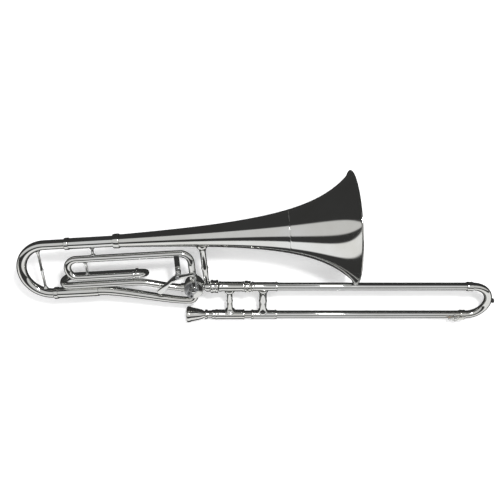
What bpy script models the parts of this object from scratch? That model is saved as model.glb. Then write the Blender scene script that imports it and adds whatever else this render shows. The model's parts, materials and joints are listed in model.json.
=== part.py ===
"""A trombone with one rotary valve and a closed F loop, lying on a flat surface.

Metres, +Z up. The bell section and the slide section each have their own frame. In the bell
frame X runs along the bell axis towards the rim, Y from the neckpipe towards the bell, and Z
faces up. In the slide frame X runs along the slide away from the mouthpiece, and Y from the
mouthpiece-side tube towards the bell-side tube. Both rest on the floor at Z = 0.
"""

import math

import bmesh
import bpy
from mathutils import Matrix, Vector

FIT = 0.0003  # gap between pieces that touch
CLEAR = 0.0005  # extra radius of a saddle cut, so that facets stay apart

# Where the two sections lie
BELL_RIM = Vector((0.2398, 0.0517, 0.1350))
BELL_TURN = math.radians(3.2)
BELL_TILT = math.radians(26.4)
SLIDE_LINE = Vector((0.0, -0.0884, 0.0750))  # a point on the axis of the bell-side slide tube
SLIDE_TILT = math.radians(36.67)
CENTRE_X = 0.02497  # middle of the whole object, which becomes the origin
CENTRE_Y = 0.00183
LOWEST_Z = 0.00039  # the mouthpiece rim, which touches the floor

# Bell
BELL_R = 0.13225
BELL_LENGTH = 0.5480
FLARE_X = 0.1700
FLARE_POWER = 1.5
SEAM_X = 0.1500  # where the flare meets the stem, behind the rim
BELL_WALL = 0.0010
RIM_BEAD_R = 0.0022

# Main tuning slide
CROOK_R = 0.0645
CROOK_X = -0.7207
CROOK_TUBE = (0.0115, 0.0105)
SLEEVE = (0.0132, 0.0114)
LEG = (0.0109, 0.0101)
BELL_JOINT_X = -0.5515
UPPER_SLEEVE_END = -0.6617
LOWER_SLEEVE_START = -0.6130
LOWER_SLEEVE_END = -0.7097

# Rotary valve, with its axis along the bell frame's Z
VALVE = Vector((-0.3827, -0.1330, 0.0))
ROTOR_R = 0.0205
CASING = (0.0238, 0.0209)
CASING_HALF = 0.0150
PORT = (0.0104, 0.0094)
PORT_REACH = 0.0310
NECK_PORT_REACH = 0.0268
SLIDE_PORT_REACH = 0.0250
PASSAGE_R = 0.0070

# F loop
F_TUBE = (0.0084, 0.0076)
F_LEG = (0.0071, 0.0063)
F_BEND = 0.0240
F_OUT_Y = -0.0380
F_LEVEL = 0.0080
F_LOW_Y = -0.1010
F_LOW_LEVEL = -0.0300
F_RETURN_Y = -0.1070
F_REAR_X = -0.6508
F_RETURN_X = -0.6769
F_SLIDE_X = -0.5170

# Slide
SLIDE_GAP = 0.0913
INNER_TUBE = (0.0084, 0.0077)
OUTER_TUBE = (0.0096, 0.0089)
OVERSLEEVE = (0.0108, 0.0099)
BARREL = (0.0120, 0.0103)
SLIDE_FERRULE = (0.0112, 0.0099)
SLIDE_BOW_X = 0.5410
HANDLE_X = 0.0320
INNER_BRACE_X = -0.0500
MOUTHPIECE_X = -0.1585
MOUTHPIECE_R = 0.0203

# Lever
LEVER_PIVOT = Vector((-0.4150, -0.0850, 0.0360))
LEVER_TAIL = 0.0400
LEVER_SWING = math.radians(22.3)
LINK_ARM_R = 0.0110
LINK_PIN_R = 0.0013
LINK_EYE_R = 0.0029  # wider than its pin, because the link's true path isn't quite a straight line
LINK_LEVEL = 0.0282

COLOURS = {
    "silver": ((0.78, 0.79, 0.78, 1.0), 0.14, 1.0),
    "steel": ((0.55, 0.56, 0.57, 1.0), 0.28, 1.0),
    "cork": ((0.45, 0.28, 0.14, 1.0), 0.85, 0.0),
    "rubber": ((0.03, 0.03, 0.03, 1.0), 0.7, 0.0),
}


def material(name):
    """The Principled material of one finish, made once."""
    found = bpy.data.materials.get(name)
    if found:
        return found
    made = bpy.data.materials.new(name)
    made.use_nodes = True
    shader = made.node_tree.nodes["Principled BSDF"]
    colour, roughness, metallic = COLOURS[name]
    shader.inputs["Base Color"].default_value = colour
    shader.inputs["Roughness"].default_value = roughness
    shader.inputs["Metallic"].default_value = metallic
    return made


def empty(name, frame, parent=None):
    """An empty at a frame given in the layout's coordinates."""
    made = bpy.data.objects.new(name, None)
    made.empty_display_size = 0.02
    bpy.context.scene.collection.objects.link(made)
    place(made, frame, parent)
    return made


def place(piece, frame, parent):
    """Puts a piece at a layout frame and parents it without moving it."""
    piece.matrix_basis = frame
    piece["layout_frame"] = [value for row in frame for value in row]
    if parent:
        rows = list(parent["layout_frame"])
        parent_frame = Matrix([rows[0:4], rows[4:8], rows[8:12], rows[12:16]])
        piece.parent = parent
        piece.matrix_parent_inverse = parent_frame.inverted()


def bell_frame():
    along = Vector((math.cos(BELL_TURN), math.sin(BELL_TURN), 0.0))
    across = Vector((
        -math.sin(BELL_TURN) * math.cos(BELL_TILT),
        math.cos(BELL_TURN) * math.cos(BELL_TILT),
        math.sin(BELL_TILT),
    ))
    return frame_from(BELL_RIM, along, across)


def slide_frame():
    across = Vector((0.0, math.cos(SLIDE_TILT), math.sin(SLIDE_TILT)))
    return frame_from(SLIDE_LINE, Vector((1.0, 0.0, 0.0)), across)


def frame_from(origin, x_axis, y_axis):
    z_axis = x_axis.cross(y_axis)
    turn = Matrix((x_axis, y_axis, z_axis)).transposed()
    return Matrix.Translation(origin) @ turn.to_4x4()


def facing(point, direction, turn=0.0):
    """A frame at a point with its Z along a direction."""
    return Matrix.Translation(point) @ aimed(direction).to_matrix().to_4x4() @ Matrix.Rotation(turn, 4, "Z")


def aimed(direction):
    return Vector(direction).normalized().to_track_quat("Z", "Y")


def finished(name, shape, frame, parent, finish):
    """An object from a bmesh, smooth shaded with its sharp edges kept."""
    bmesh.ops.recalc_face_normals(shape, faces=shape.faces)
    mesh = bpy.data.meshes.new(name)
    shape.to_mesh(mesh)
    shape.free()
    mesh.shade_smooth()
    mesh.set_sharp_from_angle(angle=math.radians(40))
    made = bpy.data.objects.new(name, mesh)
    made.data.materials.append(material(finish))
    bpy.context.scene.collection.objects.link(made)
    place(made, frame, parent)
    return made


def skin(shape, rings, closed):
    """Faces between rings of vertices. A ring of one vertex is a tip."""
    pairs = list(zip(rings, rings[1:]))
    if closed:
        pairs.append((rings[-1], rings[0]))
    for first, second in pairs:
        count = max(len(first), len(second))
        for i in range(count):
            j = (i + 1) % count
            if len(first) == 1:
                shape.faces.new((first[0], second[j], second[i]))
            elif len(second) == 1:
                shape.faces.new((first[i], first[j], second[0]))
            else:
                shape.faces.new((first[i], first[j], second[j], second[i]))
    if not closed:
        for end in (rings[0], rings[-1]):
            if len(end) > 2:
                shape.faces.new(end)


def ring(shape, centre, u, v, radius, sides):
    if radius < 1e-7:
        return [shape.verts.new(centre)]
    turns = [2 * math.pi * i / sides for i in range(sides)]
    return [shape.verts.new(centre + radius * (math.cos(t) * u + math.sin(t) * v)) for t in turns]


def turned(name, profile, frame, parent, finish, sides=16, hollow=False):
    """A piece turned about its frame's Z from (height, radius) points.

    A hollow one's profile goes up its outer side and comes back down its bore.
    """
    shape = bmesh.new()
    x_axis = Vector((1, 0, 0))
    y_axis = Vector((0, 1, 0))
    rings = [ring(shape, Vector((0, 0, z)), x_axis, y_axis, radius, sides) for z, radius in profile]
    skin(shape, rings, hollow)
    return finished(name, shape, frame, parent, finish)


def sleeve_profile(start, end, outer, bore):
    return [(start, outer), (end, outer), (end, bore), (start, bore)]


def transported(points):
    """The two cross axes at each point of a path, turned as little as possible."""
    count = len(points)
    tangents = []
    for i in range(count):
        before = points[max(i - 1, 0)]
        after = points[min(i + 1, count - 1)]
        tangents.append((after - before).normalized())
    u = tangents[0].orthogonal().normalized()
    axes = []
    for i, tangent in enumerate(tangents):
        if i:
            u = tangents[i - 1].rotation_difference(tangent) @ u
        u = (u - tangent * u.dot(tangent)).normalized()
        axes.append((u.copy(), tangent.cross(u)))
    return axes


def swept(name, points, outer, bore, frame, parent, finish, sides=12):
    """A tube along a path. outer and bore are radii, or lists of them; no bore makes a rod."""
    shape = bmesh.new()
    axes = transported(points)
    outers = outer if isinstance(outer, list) else [outer] * len(points)
    rings = [ring(shape, p, u, v, r, sides) for p, (u, v), r in zip(points, axes, outers)]
    if bore:
        bores = bore if isinstance(bore, list) else [bore] * len(points)
        inner = [ring(shape, p, u, v, r, sides) for p, (u, v), r in zip(points, axes, bores)]
        rings += inner[::-1]
    skin(shape, rings, bool(bore))
    return finished(name, shape, frame, parent, finish)


def line(start, end, steps=1):
    return [start.lerp(end, i / steps) for i in range(steps + 1)]


def arc(centre, u, v, radius, first, last, steps):
    """Points round a centre, from angle first to last, in degrees."""
    made = []
    for i in range(steps + 1):
        t = math.radians(first + (last - first) * i / steps)
        made.append(centre + radius * (math.cos(t) * u + math.sin(t) * v))
    return made


def glide(start, leave, end, arrive, steps):
    """A smooth curve that leaves and arrives along two vectors."""
    made = []
    for i in range(steps + 1):
        t = i / steps
        made.append(
            (2 * t**3 - 3 * t**2 + 1) * start
            + (t**3 - 2 * t**2 + t) * leave
            + (3 * t**2 - 2 * t**3) * end
            + (t**3 - t**2) * arrive
        )
    return made


def joined_path(*stretches):
    """One path from stretches that meet, with each meeting point kept once."""
    made = list(stretches[0])
    for stretch in stretches[1:]:
        made += stretch[1:] if (stretch[0] - made[-1]).length < 1e-6 else stretch
    return made


def cutter(name, shape_maker, frame):
    """A helper solid that only cuts or joins."""
    made = shape_maker(name, frame)
    made.hide_render = True
    made.display_type = "WIRE"
    return made


def rod_cutter(name, start, end, radius, frame, sides=20):
    """A round helper from one point to another, in a frame's coordinates."""
    def make(made_name, made_frame):
        length = (end - start).length
        here = made_frame @ facing(start, end - start)
        return turned(made_name, [(0, radius), (length, radius)], here, ROOT, "steel", sides)

    return cutter(name, make, frame)


def combine(piece, other, operation):
    modifier = piece.modifiers.new(operation.title(), "BOOLEAN")
    modifier.operation = operation
    modifier.solver = "EXACT"
    modifier.object = other


def block(name, size, frame, parent, finish, bevel=0.0):
    """A box of full sizes centred on its frame, with an optional bevel."""
    shape = bmesh.new()
    bmesh.ops.create_cube(shape, size=1.0, matrix=Matrix.Diagonal((*size, 1.0)))
    if bevel:
        edges = list(shape.edges)
        bmesh.ops.bevel(shape, geom=edges, offset=bevel, segments=1, affect="EDGES")
    return finished(name, shape, frame, parent, finish)


def plate(name, outline, thickness, frame, parent, finish, holes=()):
    """A flat plate from an outline in its frame's XY, rising along Z, with round holes."""
    shape = bmesh.new()
    face = shape.faces.new([shape.verts.new((x, y, 0.0)) for x, y in outline])
    raised = bmesh.ops.extrude_face_region(shape, geom=[face])["geom"]
    moved = [item for item in raised if isinstance(item, bmesh.types.BMVert)]
    bmesh.ops.translate(shape, vec=(0, 0, thickness), verts=moved)
    made = finished(name, shape, frame, parent, finish)
    for number, (x, y, radius) in enumerate(holes):
        start = Vector((x, y, -0.003))
        end = Vector((x, y, thickness + 0.003))
        combine(made, rod_cutter(f"{name}_hole_{number}", start, end, radius, frame, 14), "DIFFERENCE")
    return made


def rounded(start, end, radius, other_radius, steps=6):
    """The outline round two circles of different size, joined by their flanks."""
    along = (Vector(end) - Vector(start)).normalized()
    angle = math.degrees(math.atan2(along.y, along.x))
    made = []
    for centre, size, first in ((end, other_radius, angle - 90), (start, radius, angle + 90)):
        for i in range(steps + 1):
            t = math.radians(first + 180 * i / steps)
            made.append((centre[0] + size * math.cos(t), centre[1] + size * math.sin(t)))
    return made


def brace(name, start, end, start_tube, end_tube, frame, parent, stem=0.0036, foot=0.0085, gap=CLEAR):
    """A turned strut between two tubes, with a saddle cut into each foot.

    start_tube and end_tube are (radius, direction) of the tubes that it stands on.
    """
    length = (end - start).length
    near = start_tube[0] * 0.75
    far = length - end_tube[0] * 0.75
    middle = length / 2
    profile = [
        (near, foot), (start_tube[0] + 0.0015, foot), (start_tube[0] + 0.0045, stem * 1.25),
        (start_tube[0] + 0.0090, stem), (middle - 0.0040, stem), (middle, stem + 0.0012),
        (middle + 0.0040, stem), (length - end_tube[0] - 0.0090, stem),
        (length - end_tube[0] - 0.0045, stem * 1.25), (length - end_tube[0] - 0.0015, foot), (far, foot),
    ]
    made = turned(name, profile, frame @ facing(start, end - start), parent, "silver", 12)
    for side, centre, (radius, direction) in (("near", start, start_tube), ("far", end, end_tube)):
        reach = direction.normalized() * 0.04
        cut = rod_cutter(f"{name}_{side}", centre - reach, centre + reach, radius + gap, frame)
        combine(made, cut, "DIFFERENCE")
    return made


X = Vector((1, 0, 0))
Y = Vector((0, 1, 0))
Z = Vector((0, 0, 1))


def flare(distance):
    """The bell's outer radius at a distance behind its rim."""
    return BELL_R * ((distance + FLARE_X) / FLARE_X) ** -FLARE_POWER


def build_bell():
    """The bell's flare with its rolled rim, the stem, their seam, and the ferrule and sleeve behind."""
    flare_steps = 7
    outer = []
    for i in range(flare_steps + 1):
        distance = RIM_BEAD_R + (SEAM_X - RIM_BEAD_R) * (1 - i / flare_steps) ** 1.4
        outer.append((-distance, flare(distance)))
    bead = [
        (-RIM_BEAD_R + RIM_BEAD_R * math.cos(t), BELL_R - RIM_BEAD_R * 0.2 + RIM_BEAD_R * math.sin(t))
        for t in (math.radians(a) for a in (90, 30, -30, -90))
    ]
    inner = [(x, radius - BELL_WALL) for x, radius in outer[::-1]]
    profile = outer[:-1] + bead + inner[1:]
    turned("bell_flare", profile, BELL @ facing(Vector(), X), BODY, "silver", 28, True)
    stem_steps = 6
    outer = []
    for i in range(stem_steps + 1):
        distance = SEAM_X + FIT + (BELL_LENGTH - SEAM_X) * (1 - i / stem_steps) ** 1.2
        outer.append((-distance, flare(distance)))
    inner = [(x, radius - BELL_WALL) for x, radius in outer[::-1]]
    turned("bell_stem", outer + inner, BELL @ facing(Vector(), X), BODY, "silver", 24, True)
    joint = BELL_JOINT_X
    profile = [
        (joint - 0.0080, 0.0160), (joint - 0.0050, 0.0172), (joint + 0.0040, 0.0176),
        (joint + 0.0075, 0.0168), (joint + 0.0075, flare(0.5440) + 2 * FIT),
        (joint - 0.0003, flare(0.5440) + 2 * FIT), (joint - 0.0003, 0.0137), (joint - 0.0080, 0.0137),
    ]
    turned("bell_stem_ferrule", profile, BELL @ facing(Vector(), X), BODY, "silver", 12, True)
    profile = sleeve_profile(UPPER_SLEEVE_END, joint - 0.0006, *SLEEVE)
    turned("tuning_sleeve_bell", profile, BELL @ facing(Vector(), X), BODY, "silver", 12, True)


def build_tuning_slide():
    """The crook with its ferrules and brace, and its two legs inside the sleeves."""
    drop = Vector((0, -2 * CROOK_R, 0))
    bend_top = Vector((CROOK_X, 0, 0))
    points = joined_path(
        line(Vector((UPPER_SLEEVE_END - 0.0060, 0, 0)), bend_top),
        arc(bend_top + drop / 2, X, Y, CROOK_R, 90, 270, 12),
        line(bend_top + drop, Vector((LOWER_SLEEVE_END - 0.0060, drop.y, 0))),
    )
    swept("tuning_crook", points, *CROOK_TUBE, BELL, TUNING, "silver", 12)
    ends = (
        ("bell", Vector(), UPPER_SLEEVE_END, 0.0920),
        ("neck", drop, LOWER_SLEEVE_END, 0.0850),
    )
    for side, line_at, sleeve_end, reach in ends:
        start = sleeve_end - 0.0057
        frame = BELL @ facing(line_at, X)
        profile = sleeve_profile(start, sleeve_end + reach, *LEG)
        turned(f"tuning_leg_{side}", profile, frame, TUNING, "silver", 12, True)
        profile = [
            (start - 0.0055, 0.0128), (start - 0.0035, 0.0145), (sleeve_end - 0.0010, 0.0145),
            (sleeve_end - 0.0003, 0.0138), (sleeve_end - 0.0003, 0.0122), (start - 0.0055, 0.0122),
        ]
        turned(f"tuning_ferrule_{side}", profile, frame, TUNING, "silver", 12, True)
    sleeve_frame = BELL @ facing(drop, X)
    profile = sleeve_profile(LOWER_SLEEVE_END, LOWER_SLEEVE_START, *SLEEVE)
    turned("tuning_sleeve_neck", profile, sleeve_frame, BODY, "silver", 12, True)
    brace_x = CROOK_X - 0.0180
    half = math.sqrt(CROOK_R**2 - 0.0180**2)
    top = Vector((brace_x, half - CROOK_R, 0))
    bottom = Vector((brace_x, -half - CROOK_R, 0))
    lean = Y * 0.29
    brace(
        "tuning_brace", bottom, top, (CROOK_TUBE[0], X - lean), (CROOK_TUBE[0], X + lean),
        BELL, TUNING, 0.0030, 0.0060, 0.0012,
    )


def build_neckpipe():
    """From the lower sleeve, tapering to the valve's lower port through a tight elbow."""
    bend = 0.0120
    port = VALVE - Y * (NECK_PORT_REACH - 0.0018)
    turn = arc(port + Vector((-bend, 0, 0)), X, Y, bend, 0, -90, 4)
    start = Vector((LOWER_SLEEVE_START + FIT, -2 * CROOK_R, 0))
    run = [start] + glide(start + X * 0.003, X * 0.14, turn[-1], X * 0.14, 7)
    points = run[:-1] + turn[::-1]
    count = len(points)
    outers = []
    for i in range(count):
        share = min(i / (len(run) - 1), 1.0)
        outers.append(0.0120 - 0.0036 * share)
    bores = [radius - 0.0008 for radius in outers]
    swept("neckpipe", points, outers, bores, BELL, BODY, "silver", 12)


def build_valve():
    """The casing with four ports, the rotor with two passages, and the parts at its two ends."""
    frame = BELL @ Matrix.Translation(VALVE)
    half = CASING_HALF
    profile = [(-half, CASING[0]), (half, CASING[0])]
    casing = turned("valve_casing", profile, frame, BODY, "silver", 24)
    deep = Z * (half + 0.01)
    bore = rod_cutter("casing_bore", -deep, deep, CASING[1], frame, 24)
    ports = {
        "slide": (X, SLIDE_PORT_REACH), "neck": (-Y, NECK_PORT_REACH),
        "return": (-X, PORT_REACH), "out": (Y, PORT_REACH),
    }
    for side, (direction, length) in ports.items():
        reach = rod_cutter(f"port_{side}", direction * 0.018, direction * length, PORT[0], frame, 14)
        combine(casing, reach, "UNION")
    combine(casing, bore, "DIFFERENCE")
    for side, (direction, _) in ports.items():
        hole = rod_cutter(f"port_hole_{side}", direction * 0.012, direction * 0.04, PORT[1], frame, 14)
        combine(casing, hole, "DIFFERENCE")

    profile = [
        (-half - 0.0030, 0.0035), (-half + 0.0020, 0.0035), (-half + 0.0020, ROTOR_R),
        (half - 0.0035, ROTOR_R), (half - 0.0035, 0.0040), (half + 0.0110, 0.0040),
    ]
    rotor = turned("valve_rotor", profile, frame, ROTOR, "silver", 24)
    for side, sign in (("low", 1), ("high", -1)):
        centre = Vector((sign * ROTOR_R, -sign * ROTOR_R, 0)) * 1.02
        path = arc(centre, -X * sign, Y * sign, ROTOR_R * 1.02, -14, 104, 6)
        made = swept(f"rotor_passage_{side}", path, PASSAGE_R, None, frame, ROOT, "steel", 10)
        made.hide_render = True
        made.display_type = "WIRE"
        combine(rotor, made, "DIFFERENCE")

    profile = [
        (half - 0.0030, CASING[1] - 0.0004), (half + FIT, CASING[1] - 0.0004), (half + FIT, 0.0228),
        (half + 0.0028, 0.0228), (half + 0.0035, 0.0221), (half + 0.0035, 0.0095), (half + 0.0060, 0.0085),
        (half + 0.0060, 0.0045), (half - 0.0030, 0.0045),
    ]
    turned("valve_bearing_plate", profile, frame, BODY, "silver", 16, True)
    profile = [
        (-half - 0.0052, 0.0), (-half - 0.0052, 0.0120), (-half - 0.0035, 0.0228), (-half - FIT, 0.0235),
        (-half - FIT, CASING[1] - 0.0004), (-half + 0.0010, CASING[1] - 0.0004),
        (-half + 0.0010, 0.0040), (-half - 0.0035, 0.0040), (-half - 0.0035, 0.0),
    ]
    turned("valve_cap", profile, frame, BODY, "silver", 18)


def round_point(radius, degrees):
    t = math.radians(degrees)
    return radius * math.cos(t), radius * math.sin(t)


def build_valve_stops():
    """The arm on the rotor's stem, and the plate with two bumpers that its lug turns between."""
    level = CASING_HALF + 0.0075
    frame = BELL @ Matrix.Translation(VALVE + Z * level)
    pin_spot = round_point(LINK_ARM_R, 45)
    lug = round_point(0.0165, 225)
    arm = plate(
        "rotor_stop_arm", rounded((0, 0), pin_spot, 0.0072, 0.0032), 0.0030, frame, ROTOR, "steel",
        [(0, 0, 0.0043)],
    )
    lug_bar = cutter(
        "stop_arm_lug",
        lambda name, here: block(name, (0.0130, 0.0050, 0.0030), here, ROOT, "steel"),
        frame
        @ Matrix.Translation((lug[0] * 0.7, lug[1] * 0.7, 0.0015))
        @ Matrix.Rotation(math.radians(225), 4, "Z"),
    )
    pin_foot = Vector((*pin_spot, 0.001))
    pin = rod_cutter("stop_arm_pin", pin_foot, pin_foot + Z * 0.0085, LINK_PIN_R, frame, 12)
    combine(arm, lug_bar, "UNION")
    combine(arm, pin, "UNION")
    plate_frame = BELL @ Matrix.Translation(VALVE + Z * (CASING_HALF + 0.0035 + FIT))
    outline = [round_point(0.0215, 180 + 12 * step) for step in range(-7, 8)]
    outline += [round_point(0.0118, 180 + 14 * step) for step in range(6, -7, -1)]
    plate("valve_stop_plate", outline, 0.0022, plate_frame, BODY, "steel")
    for name, degrees in (("stop_bumper_rest", 246), ("stop_bumper_pressed", 114)):
        spot = Vector((*round_point(0.0150, degrees), 0.0022 + FIT))
        profile = [(0, 0.0024), (0.0048, 0.0024)]
        turned(name, profile, plate_frame @ Matrix.Translation(spot), BODY, "rubber", 10)


def build_f_loop():
    """Two long tubes of the F loop and the slide bow between them."""
    bend = 0.0260
    top = Vector((VALVE.x, F_OUT_Y - bend, F_LEVEL))
    level = Vector((0, 0, F_LEVEL))
    points = joined_path(
        glide(VALVE + Vector((0, PORT_REACH - 0.006, 0)), Y * 0.045, top, Y * 0.045, 3),
        arc(top - X * bend, X, Y, bend, 0, 90, 5),
        [Vector((VALVE.x - bend, F_OUT_Y, F_LEVEL)), Vector((F_REAR_X, F_OUT_Y, F_LEVEL))],
        arc(Vector((F_REAR_X, F_OUT_Y - F_BEND, 0)) + level, X, Y, F_BEND, 90, 270, 8),
        [
            Vector((F_REAR_X, F_OUT_Y - 2 * F_BEND, F_LEVEL)),
            Vector((F_SLIDE_X - 0.008, F_OUT_Y - 2 * F_BEND, F_LEVEL)),
        ],
    )
    swept("f_tube_out", points, *F_TUBE, BELL, BODY, "silver", 10)

    low = Vector((F_RETURN_X, F_LOW_Y, F_LOW_LEVEL))
    high = Vector((F_RETURN_X, F_RETURN_Y, F_LEVEL))
    rise = (high - low).normalized()
    half = (high - low).length / 2
    points = joined_path(
        [Vector((F_SLIDE_X - 0.008, F_LOW_Y, F_LOW_LEVEL)), low],
        arc((low + high) / 2, -rise, -X, half, 0, 180, 8),
        [high, Vector((-0.5200, F_RETURN_Y, F_LEVEL))],
        glide(
            Vector((-0.5200, F_RETURN_Y, F_LEVEL)), X * 0.10,
            VALVE - X * (PORT_REACH - 0.006), X * 0.10, 5,
        ),
    )
    swept("f_tube_return", points, *F_TUBE, BELL, BODY, "silver", 10)

    bow_top = Vector((F_SLIDE_X, F_OUT_Y - 2 * F_BEND, F_LEVEL))
    bow_low = Vector((F_SLIDE_X, F_LOW_Y, F_LOW_LEVEL))
    fall = (bow_low - bow_top).normalized()
    radius = (bow_low - bow_top).length / 2
    reach = 0.080
    inner, bore = F_LEG
    points = joined_path(
        [bow_top - X * reach, bow_top - X * 0.0070, bow_top - X * 0.0068],
        arc((bow_top + bow_low) / 2, -fall, X, radius, 0, 180, 8),
        [bow_low - X * 0.0068, bow_low - X * 0.0070, bow_low - X * reach],
    )
    outers = [inner] * 2 + [F_TUBE[0]] * (len(points) - 4) + [inner] * 2
    swept("f_slide_bow", points, outers, bore, BELL, F_SLIDE, "silver", 10)
    for name, spot in (("f_slide_ferrule_upper", bow_top), ("f_slide_ferrule_lower", bow_low)):
        profile = [
            (-0.0072, 0.0098), (-0.0060, 0.0106), (-0.0020, 0.0106), (-0.0008, 0.0098),
            (-0.0008, 0.0089), (-0.0072, 0.0089),
        ]
        turned(name, profile, BELL @ facing(spot, X), F_SLIDE, "silver", 12, True)


def build_struts():
    """Small struts that tie the F loop to the bell stem, and its two upper tubes together."""
    spot = Vector((-0.6100, 0, 0))
    f_out = Vector((-0.6100, F_OUT_Y, F_LEVEL))
    short_strut("f_strut_bell", spot, f_out, SLEEVE[0], F_TUBE[0])
    upper = Vector((-0.6300, F_OUT_Y, F_LEVEL))
    lower = Vector((-0.6300, F_OUT_Y - 2 * F_BEND, F_LEVEL))
    short_strut("f_strut_loop", upper, lower, F_TUBE[0], F_TUBE[0])


def short_strut(name, start, end, start_radius, end_radius):
    """A plain waisted strut between two tubes that both run along X."""
    length = (end - start).length
    near = start_radius + 0.0040
    far = length - end_radius - 0.0040
    profile = [
        (start_radius * 0.8, 0.0060), (start_radius + 0.0010, 0.0060), (near, 0.0030),
        (far, 0.0030), (length - end_radius - 0.0010, 0.0060), (length - end_radius * 0.8, 0.0060),
    ]
    made = turned(name, profile, BELL @ facing(start, end - start), BODY, "silver", 12)
    for side, centre, radius in (("near", start, start_radius), ("far", end, end_radius)):
        cut = rod_cutter(f"{name}_{side}", centre - X * 0.03, centre + X * 0.03, radius + 1.6 * CLEAR, BELL)
        combine(made, cut, "DIFFERENCE")


def build_receiver():
    """The tube from the valve that takes the slide, the lock nut, and the grip brace."""
    start = -0.1092
    profile = [
        (start, 0.0104), (-0.1060, 0.0104), (-0.1060, 0.0125), (-0.0975, 0.0125), (-0.0960, 0.0110),
        (-0.0800, 0.0110), (-0.0800, 0.0078), (start, 0.0074),
    ]
    turned("bell_receiver", profile, SLIDE @ facing(Vector(), X), BODY, "silver", 12, True)
    profile = [
        (-0.0955, 0.0150), (-0.0940, 0.0162), (-0.0900, 0.0162), (-0.0890, 0.0152), (-0.0830, 0.0152),
        (-0.0815, 0.0162), (-0.0780, 0.0162), (-0.0770, 0.0148), (-0.0770, 0.0128),
        (-0.0790, 0.0128), (-0.0790, 0.0116), (-0.0955, 0.0116),
    ]
    turned("bell_lock_nut", profile, SLIDE @ facing(Vector(), X), NUT, "silver", 12, True)
    to_bell = BELL.inverted() @ SLIDE
    foot = to_bell @ Vector((-0.1040, 0, 0))
    slide_axis = (to_bell.to_3x3() @ X).normalized()
    top = Vector((foot.x - 0.004, 0, 0))
    distance = -top.x
    slope = (flare(distance - 0.01) - flare(distance + 0.01)) / 0.02
    brace_x = top.x
    saddle = flare(distance)
    near = saddle + 0.0002
    length = (foot - top).length
    profile = [
        (saddle * 0.80, 0.0135), (near + 0.0030, 0.0135), (near + 0.0080, 0.0090), (near + 0.0160, 0.0072),
        (length * 0.58, 0.0072), (length * 0.62, 0.0086), (length * 0.66, 0.0072),
        (length - 0.0230, 0.0060), (length - 0.0180, 0.0068), (length - 0.0095, 0.0068),
    ]
    made = turned("grip_brace", profile, BELL @ facing(top, foot - top), BODY, "silver", 14)
    cone = cutter(
        "grip_brace_bell",
        lambda name, frame: turned(
            name,
            [(-0.04, saddle - 0.04 * slope + 0.0009), (0.04, saddle + 0.04 * slope + 0.0009)],
            frame @ facing(Vector((brace_x, 0, 0)), X), ROOT, "steel", 40,
        ),
        BELL,
    )
    combine(made, cone, "DIFFERENCE")
    along = slide_axis * 0.03
    cut = rod_cutter("grip_brace_slide", foot - along, foot + along, 0.0125 + CLEAR, BELL)
    combine(made, cut, "DIFFERENCE")


def build_lever():
    """The thumb lever with its bracket, pivot screw and spring, and the link to the rotor."""
    frame = BELL @ Matrix.Translation(LEVER_PIVOT)
    tail = LINK_TAIL
    outline = [
        (-0.0500, -0.0390), (-0.0440, -0.0425), (-0.0370, -0.0400), (-0.0200, -0.0190), (-0.0060, -0.0075),
        (0.0050, -0.0060), (0.0200, 0.0000), (0.0390, 0.0037), (0.0430, 0.0060), (0.0434, 0.0095),
        (0.0400, 0.0120), (0.0190, 0.0070), (0.0050, 0.0064), (-0.0030, 0.0068), (-0.0100, 0.0030),
        (-0.0280, -0.0130), (-0.0470, -0.0290), (-0.0520, -0.0340),
    ]
    plate("thumb_lever", outline, 0.0030, frame, LEVER, "silver", [(0, 0, 0.0024), (*tail, 0.0016)])
    screw = [
        (-0.0118, 0.0020), (0.0036, 0.0020), (0.0036, 0.0046), (0.0052, 0.0046), (0.0060, 0.0036),
    ]
    turned("lever_pivot_screw", screw, frame, BODY, "steel", 12)

    post_top = -0.0004
    post = turned(
        "lever_bracket",
        [
            (-0.0300, 0.0062), (-0.0180, 0.0062), (-0.0140, 0.0046),
            (post_top - 0.0030, 0.0046), (post_top, 0.0060),
        ],
        frame, BODY, "silver", 14,
    )
    hole = rod_cutter("bracket_hole", Vector((0, 0, -0.0122)), Vector((0, 0, 0.004)), 0.0024, frame, 12)
    combine(post, hole, "DIFFERENCE")
    saddle_bar = cutter(
        "bracket_bar",
        lambda name, bar_frame: block(name, (0.012, 0.056, 0.0050), bar_frame, ROOT, "silver"),
        frame @ Matrix.Translation((0, 0.0180, -0.0215)),
    )
    combine(post, saddle_bar, "UNION")
    to_pivot = -LEVER_PIVOT
    under = Vector((LEVER_PIVOT.x, F_OUT_Y, F_LEVEL)) + to_pivot
    cut = rod_cutter(
        "bracket_saddle", under - X * 0.03, under + X * 0.03, F_TUBE[0] + 1.6 * CLEAR, frame,
    )
    combine(post, cut, "DIFFERENCE")
    turns = 3
    coil = []
    for i in range(turns * 8 + 1):
        t = 2 * math.pi * i / 8
        coil.append(Vector((0.0066 * math.cos(t), 0.0066 * math.sin(t), -0.0042 - 0.0026 * i / 8)))
    coil.append(coil[-1] + Vector((-0.004, 0.009, 0)))
    swept("lever_spring", coil, 0.0006, None, frame, BODY, "steel", 5)

    build_link()


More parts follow.
